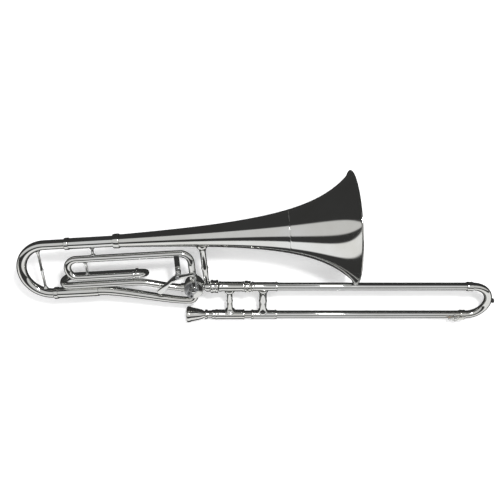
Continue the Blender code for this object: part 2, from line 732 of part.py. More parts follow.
def build_link():
    """The rod from the lever's tail down to the eye round the rotor arm's pin."""
    near = LEVER_PIVOT + Vector((*LINK_TAIL, 0))
    far = VALVE + Vector((*round_point(LINK_ARM_R, 45), 0))
    near.z = LINK_LEVEL
    far.z = LINK_LEVEL
    far.x += 0.0012
    rod = swept("linkage_rod", [near, near.lerp(far, 0.5), far], 0.0014, None, BELL, LINK, "steel", 10)
    top = LEVER_PIVOT.z + 0.0030
    pieces = (
        ("link_collar", near, LINK_LEVEL - 0.0014, LEVER_PIVOT.z - 0.0006, 0.0026),
        ("link_stud", near, LINK_LEVEL, top + 0.0020, 0.0011),
        ("link_head", near, top + 0.0004, top + 0.0024, 0.0026),
        ("link_foot", far, LINK_LEVEL - 0.0020, LINK_LEVEL + 0.0020, 0.0046),
    )
    for name, spot, low, high, radius in pieces:
        bar = rod_cutter(name, Vector((*spot.xy, low)), Vector((*spot.xy, high)), radius, BELL, 12)
        combine(rod, bar, "UNION")
    eye_foot = Vector((*far.xy, LINK_LEVEL - 0.01))
    eye = rod_cutter("link_eye", eye_foot, eye_foot + Z * 0.02, LINK_EYE_R, BELL, 14)
    combine(rod, eye, "DIFFERENCE")


def build_slide_static():
    """Cork barrels, inner tubes, inner brace, receiver and leadpipe."""
    mouth = Vector((0, -SLIDE_GAP, 0))
    for side, spot, back in (("bell", Vector(), -0.0760), ("mouth", mouth, -0.0880)):
        frame = SLIDE @ facing(spot, X)
        profile = [
            (back, 0.0112), (back + 0.0015, 0.0126), (back + 0.0060, 0.0126), (back + 0.0075, BARREL[0]),
            (-0.0190, BARREL[0]), (-0.0175, 0.0127), (-0.0140, 0.0127), (-0.0140, BARREL[1]),
            (-0.0650, BARREL[1]), (-0.0650, 0.0088), (back, 0.0088),
        ]
        turned(f"cork_barrel_{side}", profile, frame, BODY, "silver", 12, True)
        profile = sleeve_profile(-0.0640, -0.0430, BARREL[1] - FIT, 0.0088)
        turned(f"barrel_cork_{side}", profile, frame, BODY, "cork", 12, True)
        profile = sleeve_profile(-0.0750, 0.5260, *INNER_TUBE)
        turned(f"inner_tube_{side}", profile, frame, BODY, "silver", 12, True)
    brace(
        "inner_brace", Vector((INNER_BRACE_X, -SLIDE_GAP, 0)), Vector((INNER_BRACE_X, 0, 0)),
        (BARREL[0], X), (BARREL[0], X), SLIDE, BODY, 0.0068, 0.0130,
    )
    frame = SLIDE @ facing(mouth, X)
    profile = [
        (-0.1130, 0.0112), (-0.1115, 0.0122), (-0.1075, 0.0122), (-0.1060, 0.0098), (-0.0960, 0.0098),
        (-0.0945, 0.0115), (-0.0883, 0.0115), (-0.0883, 0.0082), (-0.1130, 0.0086),
    ]
    turned("mouthpiece_receiver", profile, frame, BODY, "silver", 12, True)
    profile = sleeve_profile(-0.0720, 0.1200, INNER_TUBE[1] - 2 * FIT, 0.0062)
    turned("leadpipe", profile, frame, BODY, "silver", 12, True)


def build_mouthpiece():
    """A cup mouthpiece, bored through, that pulls out of its receiver."""
    face = MOUTHPIECE_X
    outer = [
        (face + 0.0010, MOUTHPIECE_R - 0.0008), (face + 0.0030, MOUTHPIECE_R),
        (face + 0.0075, MOUTHPIECE_R - 0.0006),
        (face + 0.0120, 0.0178), (face + 0.0200, 0.0160), (face + 0.0300, 0.0138), (face + 0.0380, 0.0118),
        (face + 0.0420, 0.0092), (face + 0.0460, 0.0078), (face + 0.0700, 0.0072), (face + 0.0830, 0.0066),
    ]
    bore = [
        (face + 0.0830, 0.0052), (face + 0.0400, 0.0037), (face + 0.0340, 0.0042), (face + 0.0260, 0.0090),
        (face + 0.0180, 0.0118), (face + 0.0060, 0.0132), (face + 0.0015, 0.0142), (face, 0.0165),
    ]
    frame = SLIDE @ facing(Vector((0, -SLIDE_GAP, 0)), X)
    turned("mouthpiece", outer + bore, frame, MOUTHPIECE, "silver", 16, True)


def build_hand_slide():
    """Outer tubes, oversleeves and handle brace, the slide bow and its ferrules and bumper."""
    mouth = Vector((0, -SLIDE_GAP, 0))
    bow = SLIDE_BOW_X
    for side, spot in (("bell", Vector()), ("mouth", mouth)):
        frame = SLIDE @ facing(spot, X)
        profile = sleeve_profile(-0.0380, bow - 0.0086, *OUTER_TUBE)
        turned(f"outer_tube_{side}", profile, frame, HAND, "silver", 12, True)
        profile = [
            (0.0030, 0.0108), (0.0040, 0.0120), (0.0080, 0.0120), (0.0090, OVERSLEEVE[0]),
            (0.0620, OVERSLEEVE[0]), (0.0630, 0.0118), (0.0660, 0.0118), (0.0670, 0.0106),
            (0.0670, 0.0100), (0.0030, 0.0100),
        ]
        turned(f"oversleeve_{side}", profile, frame, HAND, "silver", 12, True)
        profile = [
            (bow - 0.0160, 0.0106), (bow - 0.0145, 0.0116), (bow - 0.0110, 0.0116),
            (bow - 0.0095, SLIDE_FERRULE[0]),
            (bow - 0.0050, SLIDE_FERRULE[0]), (bow - 0.0035, 0.0116), (bow - 0.0008, 0.0112),
            (bow - 0.0008, 0.0101), (bow - 0.0160, 0.0101),
        ]
        turned(f"bow_ferrule_{side}", profile, frame, HAND, "silver", 12, True)
    brace(
        "handle_brace", Vector((HANDLE_X, -SLIDE_GAP, 0)), Vector((HANDLE_X, 0, 0)),
        (OVERSLEEVE[0], X), (OVERSLEEVE[0], X), SLIDE, HAND, 0.0090, 0.0125,
    )
    radius = SLIDE_GAP / 2
    centre = Vector((bow, -radius, 0))
    points = joined_path(
        [Vector((bow - 0.0080, 0, 0)), Vector((bow, 0, 0))],
        arc(centre, Y, X, radius, 0, 180, 12),
        [Vector((bow, -2 * radius, 0)), Vector((bow - 0.0080, -2 * radius, 0))],
    )
    swept("slide_bow", points, *OUTER_TUBE, SLIDE, HAND, "silver", 12)
    tip = centre + X * (radius + OUTER_TUBE[0] + 0.0006)
    profile = [(0, 0.0052), (0.0020, 0.0060), (0.0040, 0.0056), (0.0052, 0.0042)]
    turned("bow_bumper", profile, SLIDE @ facing(tip, X), HAND, "rubber", 12)


def build_slide_lock():
    """A ring that turns on the bell-side oversleeve's end and hooks the handle to the barrel."""
    frame = SLIDE @ facing(Vector(), X)
    profile = [
        (-0.0134, 0.0130), (-0.0122, 0.0142), (-0.0060, 0.0142), (-0.0050, 0.0134), (0.0018, 0.0134),
        (0.0018, 0.0102), (-0.0134, 0.0102),
    ]
    lock = turned("slide_lock_ring", profile, frame, LOCK, "silver", 16, True)
    knob_foot = Vector((-0.006, 0, 0.0120))
    knob = rod_cutter("lock_knob", knob_foot, knob_foot + Z * 0.0080, 0.0030, SLIDE, 12)
    combine(lock, knob, "UNION")


def build_water_key():
    """A lever on a post beside the slide bow, with a cork pad on a nipple."""
    x = SLIDE_BOW_X - 0.0420
    base = Vector((x, -SLIDE_GAP, 0))
    out = Z
    tube = OUTER_TUBE[0]
    frame = SLIDE @ facing(base, out)
    nipple = turned(
        "water_key_nipple", [(tube * 0.6, 0.0042), (tube + 0.0024, 0.0042), (tube + 0.0030, 0.0036)],
        frame, HAND, "silver", 14,
    )
    saddle = rod_cutter("nipple_saddle", base - X * 0.02, base + X * 0.02, tube + CLEAR, SLIDE)
    combine(nipple, saddle, "DIFFERENCE")
    hole = rod_cutter("nipple_hole", base, base + out * 0.03, 0.0020, SLIDE, 10)
    combine(nipple, hole, "DIFFERENCE")
    pad = [(tube + 0.0034, 0.0038), (tube + 0.0058, 0.0038)]
    turned("water_key_pad", pad, frame, KEY, "cork", 12)

    pivot = WATER_PIVOT
    post = turned(
        "water_key_post",
        [(tube * 0.6, 0.0062), (tube + 0.0010, 0.0062), (tube + 0.0024, 0.0032), (tube + 0.0095, 0.0032)],
        SLIDE @ facing(Vector((pivot.x, -SLIDE_GAP, 0)), out), HAND, "silver", 12,
    )
    under = Vector((pivot.x, -SLIDE_GAP, 0))
    saddle = rod_cutter("post_saddle", under - X * 0.02, under + X * 0.02, tube + CLEAR, SLIDE)
    combine(post, saddle, "DIFFERENCE")
    across = rod_cutter("post_hole", pivot - Y * 0.01, pivot + Y * 0.01, 0.0014, SLIDE, 10)
    combine(post, across, "DIFFERENCE")
    turned(
        "water_key_screw",
        [(-0.0072, 0.0024), (-0.0062, 0.0024), (-0.0062, 0.0009), (0.0060, 0.0009)],
        SLIDE @ facing(pivot, Y), HAND, "steel", 10,
    )

    height = tube + 0.0061
    cap = Vector((x, -SLIDE_GAP, height))
    lever = turned(
        "water_key_lever", [(0, 0.0046), (0.0016, 0.0046), (0.0024, 0.0030)],
        SLIDE @ facing(cap, out), KEY, "silver", 14,
    )
    bar_shapes = (
        ("key_arm", (x + pivot.x - 0.0045) / 2, (pivot.x - 0.0045) - x, 0.0024, height + 0.0009, 0.0),
        ("key_cheek_left", pivot.x - 0.0010, 0.0110, 0.0016, height + 0.0009, 0.0046),
        ("key_cheek_right", pivot.x - 0.0010, 0.0110, 0.0016, height + 0.0009, -0.0046),
        ("key_bridge_front", pivot.x - 0.0058, 0.0034, 0.0108, height + 0.0009, 0.0),
        ("key_bridge_back", pivot.x + 0.0058, 0.0034, 0.0108, height + 0.0009, 0.0),
        ("key_thumb", pivot.x + 0.0140, 0.0170, 0.0070, height + 0.0009, 0.0),
    )
    for name, centre_x, length, width, level, shift in bar_shapes:
        thick = 0.0030 if "cheek" in name else 0.0018
        spot = SLIDE @ Matrix.Translation((centre_x, -SLIDE_GAP + shift, level))
        bar = block(name, (length, width, thick), spot, ROOT, "silver")
        bar.hide_render = True
        bar.display_type = "WIRE"
        combine(lever, bar, "UNION")
    bore = rod_cutter("key_bore", pivot - Y * 0.01, pivot + Y * 0.01, 0.0013, SLIDE, 10)
    combine(lever, bore, "DIFFERENCE")


bpy.context.scene.unit_settings.system = "METRIC"
for old in list(bpy.data.objects):
    bpy.data.objects.remove(old, do_unlink=True)

BELL = bell_frame()
SLIDE = slide_frame()
LINK_TAIL = (LEVER_TAIL * math.cos(LEVER_SWING / 2), LEVER_TAIL * math.sin(LEVER_SWING / 2))
WATER_PIVOT = Vector((SLIDE_BOW_X - 0.0290, -SLIDE_GAP, OUTER_TUBE[0] + 0.0070))

ROOT = empty("trombone", Matrix.Identity(4))
BODY = empty("body_root", Matrix.Identity(4), ROOT)
TUNING = empty("body_tuning_slide", BELL @ facing(Vector((CROOK_X, 0, 0)), -X), ROOT)
F_SLIDE = empty("body_f_slide", BELL @ facing(Vector((F_SLIDE_X, F_LOW_Y, 0)), X), ROOT)
ROTOR = empty("body_rotor", BELL @ Matrix.Translation(VALVE), ROOT)
LEVER = empty("body_lever", BELL @ Matrix.Translation(LEVER_PIVOT), ROOT)
LINK = empty("body_link", BELL @ Matrix.Translation(LEVER_PIVOT + Vector((*LINK_TAIL, 0))), LEVER)
NUT = empty("body_lock_nut", SLIDE @ facing(Vector((-0.0860, 0, 0)), X), ROOT)
MOUTHPIECE = empty("body_mouthpiece", SLIDE @ facing(Vector((MOUTHPIECE_X, -SLIDE_GAP, 0)), -X), ROOT)
HAND = empty("body_hand_slide", SLIDE @ facing(Vector((HANDLE_X, 0, 0)), X), ROOT)
LOCK = empty("body_slide_lock", SLIDE @ facing(Vector((-0.0060, 0, 0)), X), HAND)
KEY = empty("body_water_key", SLIDE @ facing(WATER_PIVOT, Y), HAND)

build_bell()
build_tuning_slide()
build_neckpipe()
build_valve()
build_valve_stops()
build_f_loop()
build_struts()
build_receiver()
build_lever()
build_slide_static()
build_mouthpiece()
build_hand_slide()
build_slide_lock()
build_water_key()

ROOT.location = (-CENTRE_X, -CENTRE_Y, -LOWEST_Z)
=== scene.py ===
"""The looks of a trombone with one rotary valve: finely turned and drawn pieces in silver plate.

Every piece is made again at full smoothness where its CAD node is, on the same frames and driving
sizes, then gets edge bevels and a procedural finish.
"""

import json
import math

import bmesh
import bpy
from mathutils import Matrix, Vector

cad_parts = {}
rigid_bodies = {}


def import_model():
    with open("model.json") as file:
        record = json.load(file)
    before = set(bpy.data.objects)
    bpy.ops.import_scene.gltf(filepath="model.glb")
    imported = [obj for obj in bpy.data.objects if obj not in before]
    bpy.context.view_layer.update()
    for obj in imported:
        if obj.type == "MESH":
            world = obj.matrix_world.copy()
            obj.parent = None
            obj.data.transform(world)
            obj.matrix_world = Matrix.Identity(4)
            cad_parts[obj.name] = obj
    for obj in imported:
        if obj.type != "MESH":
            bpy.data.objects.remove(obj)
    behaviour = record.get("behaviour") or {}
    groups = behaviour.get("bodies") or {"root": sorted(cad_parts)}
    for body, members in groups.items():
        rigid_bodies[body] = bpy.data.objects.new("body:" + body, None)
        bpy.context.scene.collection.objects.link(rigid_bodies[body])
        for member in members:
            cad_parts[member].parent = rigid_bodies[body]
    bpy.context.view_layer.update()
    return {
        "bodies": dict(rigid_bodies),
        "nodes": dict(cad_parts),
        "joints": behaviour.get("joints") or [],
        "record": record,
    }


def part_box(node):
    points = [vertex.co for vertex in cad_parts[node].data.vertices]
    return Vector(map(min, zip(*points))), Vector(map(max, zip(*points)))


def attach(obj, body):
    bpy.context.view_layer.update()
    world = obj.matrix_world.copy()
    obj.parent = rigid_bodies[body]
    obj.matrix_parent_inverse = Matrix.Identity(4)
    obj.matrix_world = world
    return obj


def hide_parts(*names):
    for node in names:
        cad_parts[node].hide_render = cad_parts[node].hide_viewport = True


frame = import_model()

FIT = 0.0003  # gap between pieces that touch
CLEAR = 0.0005  # extra radius of a saddle cut, so that a foot stays off its tube
FINER = 4  # sides of a turned piece for each of its CAD sides
SMOOTHER = 4  # steps of a bend for each of its CAD steps
EDGE = 0.00028  # width of the bevel on every machined edge

# Where the two sections lie
BELL_RIM = Vector((0.2398, 0.0517, 0.1350))
BELL_TURN = math.radians(3.2)
BELL_TILT = math.radians(26.4)
SLIDE_LINE = Vector((0.0, -0.0884, 0.0750))  # a point on the axis of the bell-side slide tube
SLIDE_TILT = math.radians(36.67)

# Bell
BELL_R = 0.13225
BELL_LENGTH = 0.5480
FLARE_X = 0.1700
FLARE_POWER = 1.5
SEAM_X = 0.1500  # where the flare meets the stem, behind the rim
BELL_WALL = 0.0010
RIM_BEAD_R = 0.0022

# Main tuning slide
CROOK_R = 0.0645
CROOK_X = -0.7207
CROOK_TUBE = (0.0115, 0.0105)
SLEEVE = (0.0132, 0.0114)
LEG = (0.0109, 0.0101)
BELL_JOINT_X = -0.5515
UPPER_SLEEVE_END = -0.6617
LOWER_SLEEVE_START = -0.6130
LOWER_SLEEVE_END = -0.7097

# Rotary valve, with its axis along the bell frame's Z
VALVE = Vector((-0.3827, -0.1330, 0.0))
ROTOR_R = 0.0205
CASING = (0.0238, 0.0209)
CASING_HALF = 0.0150
PORT = (0.0104, 0.0094)
PORT_REACH = 0.0310
NECK_PORT_REACH = 0.0268
SLIDE_PORT_REACH = 0.0250
PASSAGE_R = 0.0070

# F loop
F_TUBE = (0.0084, 0.0076)
F_LEG = (0.0071, 0.0063)
F_BEND = 0.0240
F_OUT_Y = -0.0380
F_LEVEL = 0.0080
F_LOW_Y = -0.1010
F_LOW_LEVEL = -0.0300
F_RETURN_Y = -0.1070
F_REAR_X = -0.6508
F_RETURN_X = -0.6769
F_SLIDE_X = -0.5170

# Slide
SLIDE_GAP = 0.0913
INNER_TUBE = (0.0084, 0.0077)
OUTER_TUBE = (0.0096, 0.0089)
OVERSLEEVE = (0.0108, 0.0099)
BARREL = (0.0120, 0.0103)
SLIDE_FERRULE = (0.0112, 0.0099)
SLIDE_BOW_X = 0.5410
HANDLE_X = 0.0320
INNER_BRACE_X = -0.0500
MOUTHPIECE_X = -0.1585
MOUTHPIECE_R = 0.0203

# Lever
LEVER_PIVOT = Vector((-0.4150, -0.0850, 0.0360))
LEVER_TAIL = 0.0400
LEVER_SWING = math.radians(22.3)
LINK_ARM_R = 0.0110
LINK_PIN_R = 0.0013
LINK_EYE_R = 0.0029  # wider than its pin, because the link's true path isn't quite a straight line
LINK_LEVEL = 0.0282

# Camera and light
CAMERA_HEIGHT = 1.55
VIEW_WIDTH = 1.25  # what the picture covers at the height of the slide's lower tube
VIEW_LEVEL = 0.03
SENSOR = 36.0
DARK = 0.040
CEILING = 0.62
CEILING_SPAN = (-26, 30)  # degrees from straight up, towards the near side
SIDE_STRIP = 0.85
STRIP_SPAN = (60, 104)
FLOOR_GLOW = 0.30  # keeps the shadows on the floor light
FLOOR_DROP = 0.0004

# Looks
SILVER_BRIGHT = (0.83, 0.84, 0.83)
SILVER_TARNISH = (0.75, 0.745, 0.71)
KNURL_DEPTH = 0.0005


def offset_of_frame():
    """From the layout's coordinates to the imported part's, read off a tube whose place is known."""
    low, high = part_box("outer_tube_bell")
    middle = (low + high) / 2
    shift = Vector((low.x + 0.0380, middle.y - SLIDE_LINE.y, middle.z - SLIDE_LINE.z))
    return Matrix.Translation(shift)


def set_camera():
    """A camera that looks straight down at the instrument as it lies."""
    data = bpy.data.cameras.new("Camera")
    data.sensor_width = SENSOR
    data.lens = SENSOR * (CAMERA_HEIGHT - VIEW_LEVEL) / VIEW_WIDTH
    camera = bpy.data.objects.new("Camera", data)
    camera.location = OFFSET.translation + Vector((0, 0, CAMERA_HEIGHT))
    bpy.context.scene.collection.objects.link(camera)
    bpy.context.scene.camera = camera


def area_light(name, place, aim, size, power, in_metal):
    data = bpy.data.lights.new(name, "AREA")
    data.shape = "RECTANGLE"
    data.size, data.size_y = size
    data.energy = power
    light = bpy.data.objects.new(name, data)
    light.location = place
    light.rotation_euler = (Vector(aim) - Vector(place)).to_track_quat("-Z", "Y").to_euler()
    light.visible_glossy = in_metal
    bpy.context.scene.collection.objects.link(light)
    return light


def set_light():
    """A pale floor, a key light from the upper right, a soft fill, and a studio of light panels."""
    bpy.context.scene.view_settings.view_transform = "Standard"
    area_light("Fill", (0.0, 0.0, 3.2), (0, 0, 0), (4.0, 4.0), 60.0, False)
    area_light("Key", (0.30, 0.42, 1.95), (0, 0, 0.05), (0.22, 0.22), 22.0, True)
    make_world()
    shape = bmesh.new()
    bmesh.ops.create_grid(shape, x_segments=1, y_segments=1, size=6.0)
    mesh = bpy.data.meshes.new("floor")
    shape.to_mesh(mesh)
    shape.free()
    floor = bpy.data.objects.new("floor", mesh)
    floor.location.z = -FLOOR_DROP
    floor.visible_glossy = False
    mesh.materials.append(floor_material())
    bpy.context.scene.collection.objects.link(floor)


def node_adder(tree):
    """A function that adds a node to a tree and links or sets its inputs."""

    def add(kind, inputs=(), **settings):
        node = tree.nodes.new(kind)
        for key, value in settings.items():
            setattr(node, key, value)
        for key, value in dict(inputs).items():
            if isinstance(value, bpy.types.NodeSocket):
                tree.links.new(value, node.inputs[key])
            else:
                node.inputs[key].default_value = value
        return node

    return add


def nodes_of(material):
    """A material's node tree, its Principled shader, and a function that adds a node to it."""
    tree = material.node_tree
    return tree, tree.nodes["Principled BSDF"], node_adder(tree)


def new_material(name):
    made = bpy.data.materials.new(name)
    made.use_nodes = True
    return made


def grain(add, coordinates, scale, detail=4.0, roughness=0.55):
    """Noise in object space."""
    inputs = {"Vector": coordinates, "Scale": scale, "Detail": detail, "Roughness": roughness}
    return add("ShaderNodeTexNoise", inputs).outputs["Fac"]


def ramp(add, value, stops):
    """A colour ramp from (position, grey or colour) stops."""
    node = add("ShaderNodeValToRGB", {"Fac": value})
    elements = node.color_ramp.elements
    while len(elements) < len(stops):
        elements.new(0.5)
    for element, (position, colour) in zip(elements, stops):
        element.position = position
        element.color = (*colour, 1.0) if isinstance(colour, tuple) else (colour, colour, colour, 1.0)
    return node.outputs["Color"]


def floor_material():
    made = new_material("pale_floor")
    tree, shader, add = nodes_of(made)
    place = add("ShaderNodeTexCoord").outputs["Object"]
    tone = ramp(add, grain(add, place, 3.0), [(0.3, 0.90), (0.7, 0.915)])
    tree.links.new(tone, shader.inputs["Base Color"])
    tree.links.new(tone, shader.inputs["Emission Color"])
    shader.inputs["Emission Strength"].default_value = FLOOR_GLOW
    shader.inputs["Roughness"].default_value = 0.9
    return made


def silver_material():
    """Polished plate: faint cloudy tarnish, soft wiping marks and a few hairline scratches."""
    made = new_material("silver_plate")
    tree, shader, add = nodes_of(made)
    place = add("ShaderNodeTexCoord").outputs["Object"]
    clouds = grain(add, place, 7.0, 4.0)
    colour = ramp(add, clouds, [(0.35, SILVER_TARNISH), (0.62, SILVER_BRIGHT)])
    tree.links.new(colour, shader.inputs["Base Color"])
    inputs = {"Vector": place, "Scale": (3.0, 22.0, 16.0), "Rotation": (0.4, 0.2, 0.5)}
    wipe = add("ShaderNodeMapping", inputs)
    marks = grain(add, wipe.outputs["Vector"], 3.0, 4.0, 0.5)
    inputs = {"Value": marks, "From Min": 0.3, "From Max": 0.7, "To Min": 0.06, "To Max": 0.10}
    rough = add("ShaderNodeMapRange", inputs)
    tree.links.new(rough.outputs["Result"], shader.inputs["Roughness"])
    inputs = {"Vector": place, "Scale": (20.0, 700.0, 400.0), "Rotation": (0.9, 0.3, 0.2)}
    scratch_place = add("ShaderNodeMapping", inputs)
    scratches = grain(add, scratch_place.outputs["Vector"], 2.0, 1.0)
    inputs = {"Value": scratches, "From Min": 0.66, "From Max": 0.78, "To Min": 0.0, "To Max": 1.0}
    height = add("ShaderNodeMapRange", inputs).outputs["Result"]
    bump = add("ShaderNodeBump", {"Height": height, "Strength": 0.012, "Distance": 0.00005})
    tree.links.new(bump.outputs["Normal"], shader.inputs["Normal"])
    shader.inputs["Metallic"].default_value = 1.0
    return made


def steel_material():
    made = new_material("satin_steel")
    tree, shader, add = nodes_of(made)
    place = add("ShaderNodeTexCoord").outputs["Object"]
    stretched = add("ShaderNodeMapping", {"Vector": place, "Scale": (60.0, 900.0, 900.0)})
    lines = grain(add, stretched.outputs["Vector"], 2.0, 3.0)
    colour = ramp(add, lines, [(0.3, (0.42, 0.43, 0.44)), (0.7, (0.60, 0.61, 0.62))])
    tree.links.new(colour, shader.inputs["Base Color"])
    rough = add("ShaderNodeMapRange", {"Value": lines, "To Min": 0.22, "To Max": 0.38})
    tree.links.new(rough.outputs["Result"], shader.inputs["Roughness"])
    bump = add("ShaderNodeBump", {"Height": lines, "Strength": 0.12, "Distance": 0.0001})
    tree.links.new(bump.outputs["Normal"], shader.inputs["Normal"])
    shader.inputs["Metallic"].default_value = 1.0
    return made


def cork_material():
    made = new_material("natural_cork")
    tree, shader, add = nodes_of(made)
    place = add("ShaderNodeTexCoord").outputs["Object"]
    cells = add("ShaderNodeTexVoronoi", {"Vector": place, "Scale": 900.0}).outputs["Distance"]
    patches = grain(add, place, 260.0)
    browns = [(0.32, (0.20, 0.10, 0.045)), (0.48, (0.42, 0.26, 0.13)), (0.7, (0.56, 0.38, 0.21))]
    colour = ramp(add, patches, browns)
    tree.links.new(colour, shader.inputs["Base Color"])
    bump = add("ShaderNodeBump", {"Height": cells, "Strength": 0.5, "Distance": 0.0002})
    tree.links.new(bump.outputs["Normal"], shader.inputs["Normal"])
    shader.inputs["Roughness"].default_value = 0.85
    return made


def rubber_material():
    made = new_material("black_rubber")
    tree, shader, add = nodes_of(made)
    place = add("ShaderNodeTexCoord").outputs["Object"]
    dust = grain(add, place, 400.0)
    colour = ramp(add, dust, [(0.35, (0.016, 0.016, 0.017)), (0.75, (0.045, 0.044, 0.042))])
    tree.links.new(colour, shader.inputs["Base Color"])
    rough = add("ShaderNodeMapRange", {"Value": dust, "To Min": 0.5, "To Max": 0.75})
    tree.links.new(rough.outputs["Result"], shader.inputs["Roughness"])
    bump = add("ShaderNodeBump", {"Height": dust, "Strength": 0.2, "Distance": 0.0001})
    tree.links.new(bump.outputs["Normal"], shader.inputs["Normal"])
    return made


def make_world():
    """A dark room with a soft ceiling panel above and a long strip low on the near side.

    Both run along X. The angle is measured from straight up, and grows towards -Y.
    """
    world = bpy.data.worlds.new("studio")
    bpy.context.scene.world = world
    world.use_nodes = True
    tree = world.node_tree
    tree.nodes.clear()
    add = node_adder(tree)

    def band(first, last, soft, level):
        """Level between two angles in degrees, fading over soft degrees at each end."""
        ends = []
        for edge, sign in ((first, 1), (last, -1)):
            low = math.radians(edge - sign * soft)
            high = math.radians(edge + sign * soft)
            inputs = {"Value": angle, "From Min": low, "From Max": high, "To Min": 0.0, "To Max": 1.0}
            node = add("ShaderNodeMapRange", inputs, interpolation_type="SMOOTHSTEP")
            ends.append(node.outputs["Result"])
        both = add("ShaderNodeMath", {0: ends[0], 1: ends[1]}, operation="MULTIPLY")
        return add("ShaderNodeMath", {0: both.outputs[0], 1: level}, operation="MULTIPLY").outputs[0]

    direction = add("ShaderNodeTexCoord").outputs["Generated"]
    parts = add("ShaderNodeSeparateXYZ", {"Vector": direction}).outputs
    minus_y = add("ShaderNodeMath", {0: parts["Y"], 1: -1.0}, operation="MULTIPLY").outputs[0]
    angle = add("ShaderNodeMath", {0: minus_y, 1: parts["Z"]}, operation="ARCTAN2").outputs[0]
    ceiling = band(*CEILING_SPAN, 4, CEILING)
    strip = band(*STRIP_SPAN, 3, SIDE_STRIP)
    total = add("ShaderNodeMath", {0: ceiling, 1: DARK}, operation="ADD").outputs[0]
    total = add("ShaderNodeMath", {0: strip, 1: total}, operation="ADD").outputs[0]
    light = add("ShaderNodeBackground", {"Color": total})
    out = add("ShaderNodeOutputWorld")
    tree.links.new(light.outputs["Background"], out.inputs["Surface"])


def settle_pieces():
    """Applies every modifier, removes the helpers, and hands each piece to its body."""
    finishes = {
        "silver": silver_material(),
        "steel": steel_material(),
        "cork": cork_material(),
        "rubber": rubber_material(),
    }
    graph = bpy.context.evaluated_depsgraph_get()
    for piece, name, _, finish in PIECES:
        mesh = bpy.data.meshes.new_from_object(piece.evaluated_get(graph))
        mesh.name = f"fine_{name}"
        mesh.materials.clear()
        mesh.materials.append(finishes[finish])
        mesh.shade_smooth()
        mesh.set_sharp_from_angle(angle=math.radians(50))
        piece.modifiers.clear()
        piece.data = mesh
    for helper in HELPERS:
        bpy.data.objects.remove(helper, do_unlink=True)
    for piece, name, body, finish in PIECES:
        piece.name = f"fine_{name}"
        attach(piece, body)
        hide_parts(name)


def knurl(name, frame, low, high, radius, grooves):
    """Lengthwise grooves round a turned piece, between two stations of its axis."""
    made = next(piece for piece, its_name, _, _ in PIECES if its_name == name)
    there = OFFSET @ frame
    back = there.inverted()
    for vertex in made.data.vertices:
        here = back @ vertex.co
        out = math.hypot(here.x, here.y)
        if low - FIT < here.z < high + FIT and abs(out - radius) < KNURL_DEPTH:
            cut = KNURL_DEPTH * (0.5 - 0.5 * math.cos(grooves * math.atan2(here.y, here.x)))
            here.x *= 1 - cut / out
            here.y *= 1 - cut / out
            vertex.co = there @ here


def bell_frame():
    along = Vector((math.cos(BELL_TURN), math.sin(BELL_TURN), 0.0))
    across = Vector((
        -math.sin(BELL_TURN) * math.cos(BELL_TILT),
        math.cos(BELL_TURN) * math.cos(BELL_TILT),
        math.sin(BELL_TILT),
    ))
    return frame_from(BELL_RIM, along, across)


def slide_frame():
    across = Vector((0.0, math.cos(SLIDE_TILT), math.sin(SLIDE_TILT)))
    return frame_from(SLIDE_LINE, Vector((1.0, 0.0, 0.0)), across)


def frame_from(origin, x_axis, y_axis):
    z_axis = x_axis.cross(y_axis)
    turn = Matrix((x_axis, y_axis, z_axis)).transposed()
    return Matrix.Translation(origin) @ turn.to_4x4()


def facing(point, direction, turn=0.0):
    """A frame at a point with its Z along a direction."""
    return Matrix.Translation(point) @ aimed(direction).to_matrix().to_4x4() @ Matrix.Rotation(turn, 4, "Z")


def aimed(direction):
    return Vector(direction).normalized().to_track_quat("Z", "Y")


def finished(name, shape, frame, body, finish):
    """A piece from a bmesh, moved to its place in the world, with its edges bevelled."""
    bmesh.ops.recalc_face_normals(shape, faces=shape.faces)
    mesh = bpy.data.meshes.new(name)
    shape.to_mesh(mesh)
    shape.free()
    mesh.transform(OFFSET @ frame)
    made = bpy.data.objects.new(name, mesh)
    bpy.context.scene.collection.objects.link(made)
    if body is None:
        HELPERS.append(made)
        return made
    bevel = made.modifiers.new("Edges", "BEVEL")
    bevel.width = EDGE
    bevel.segments = 2
    bevel.limit_method = "ANGLE"
    bevel.angle_limit = math.radians(38)
    PIECES.append((made, name, body, finish))
    return made


def skin(shape, rings, closed):
    """Faces between rings of vertices. A ring of one vertex is a tip."""
    pairs = list(zip(rings, rings[1:]))
    if closed:
        pairs.append((rings[-1], rings[0]))
    for first, second in pairs:
        count = max(len(first), len(second))
        for i in range(count):
            j = (i + 1) % count
            if len(first) == 1:
                shape.faces.new((first[0], second[j], second[i]))
            elif len(second) == 1:
                shape.faces.new((first[i], first[j], second[0]))
            else:
                shape.faces.new((first[i], first[j], second[j], second[i]))
    if not closed:
        for end in (rings[0], rings[-1]):
            if len(end) > 2:
                shape.faces.new(end)


def ring(shape, centre, u, v, radius, sides):
    if radius < 1e-7:
        return [shape.verts.new(centre)]
    turns = [2 * math.pi * i / sides for i in range(sides)]
    return [shape.verts.new(centre + radius * (math.cos(t) * u + math.sin(t) * v)) for t in turns]


def turned(name, profile, frame, body, finish, sides=16, hollow=False):
    """A piece turned about its frame's Z from (height, radius) points.

    A hollow one's profile goes up its outer side and comes back down its bore.
    """
    shape = bmesh.new()
    x_axis = Vector((1, 0, 0))
    y_axis = Vector((0, 1, 0))
    count = sides * FINER
    rings = [ring(shape, Vector((0, 0, z)), x_axis, y_axis, radius, count) for z, radius in profile]
    skin(shape, rings, hollow)
    return finished(name, shape, frame, body, finish)


def sleeve_profile(start, end, outer, bore):
    return [(start, outer), (end, outer), (end, bore), (start, bore)]


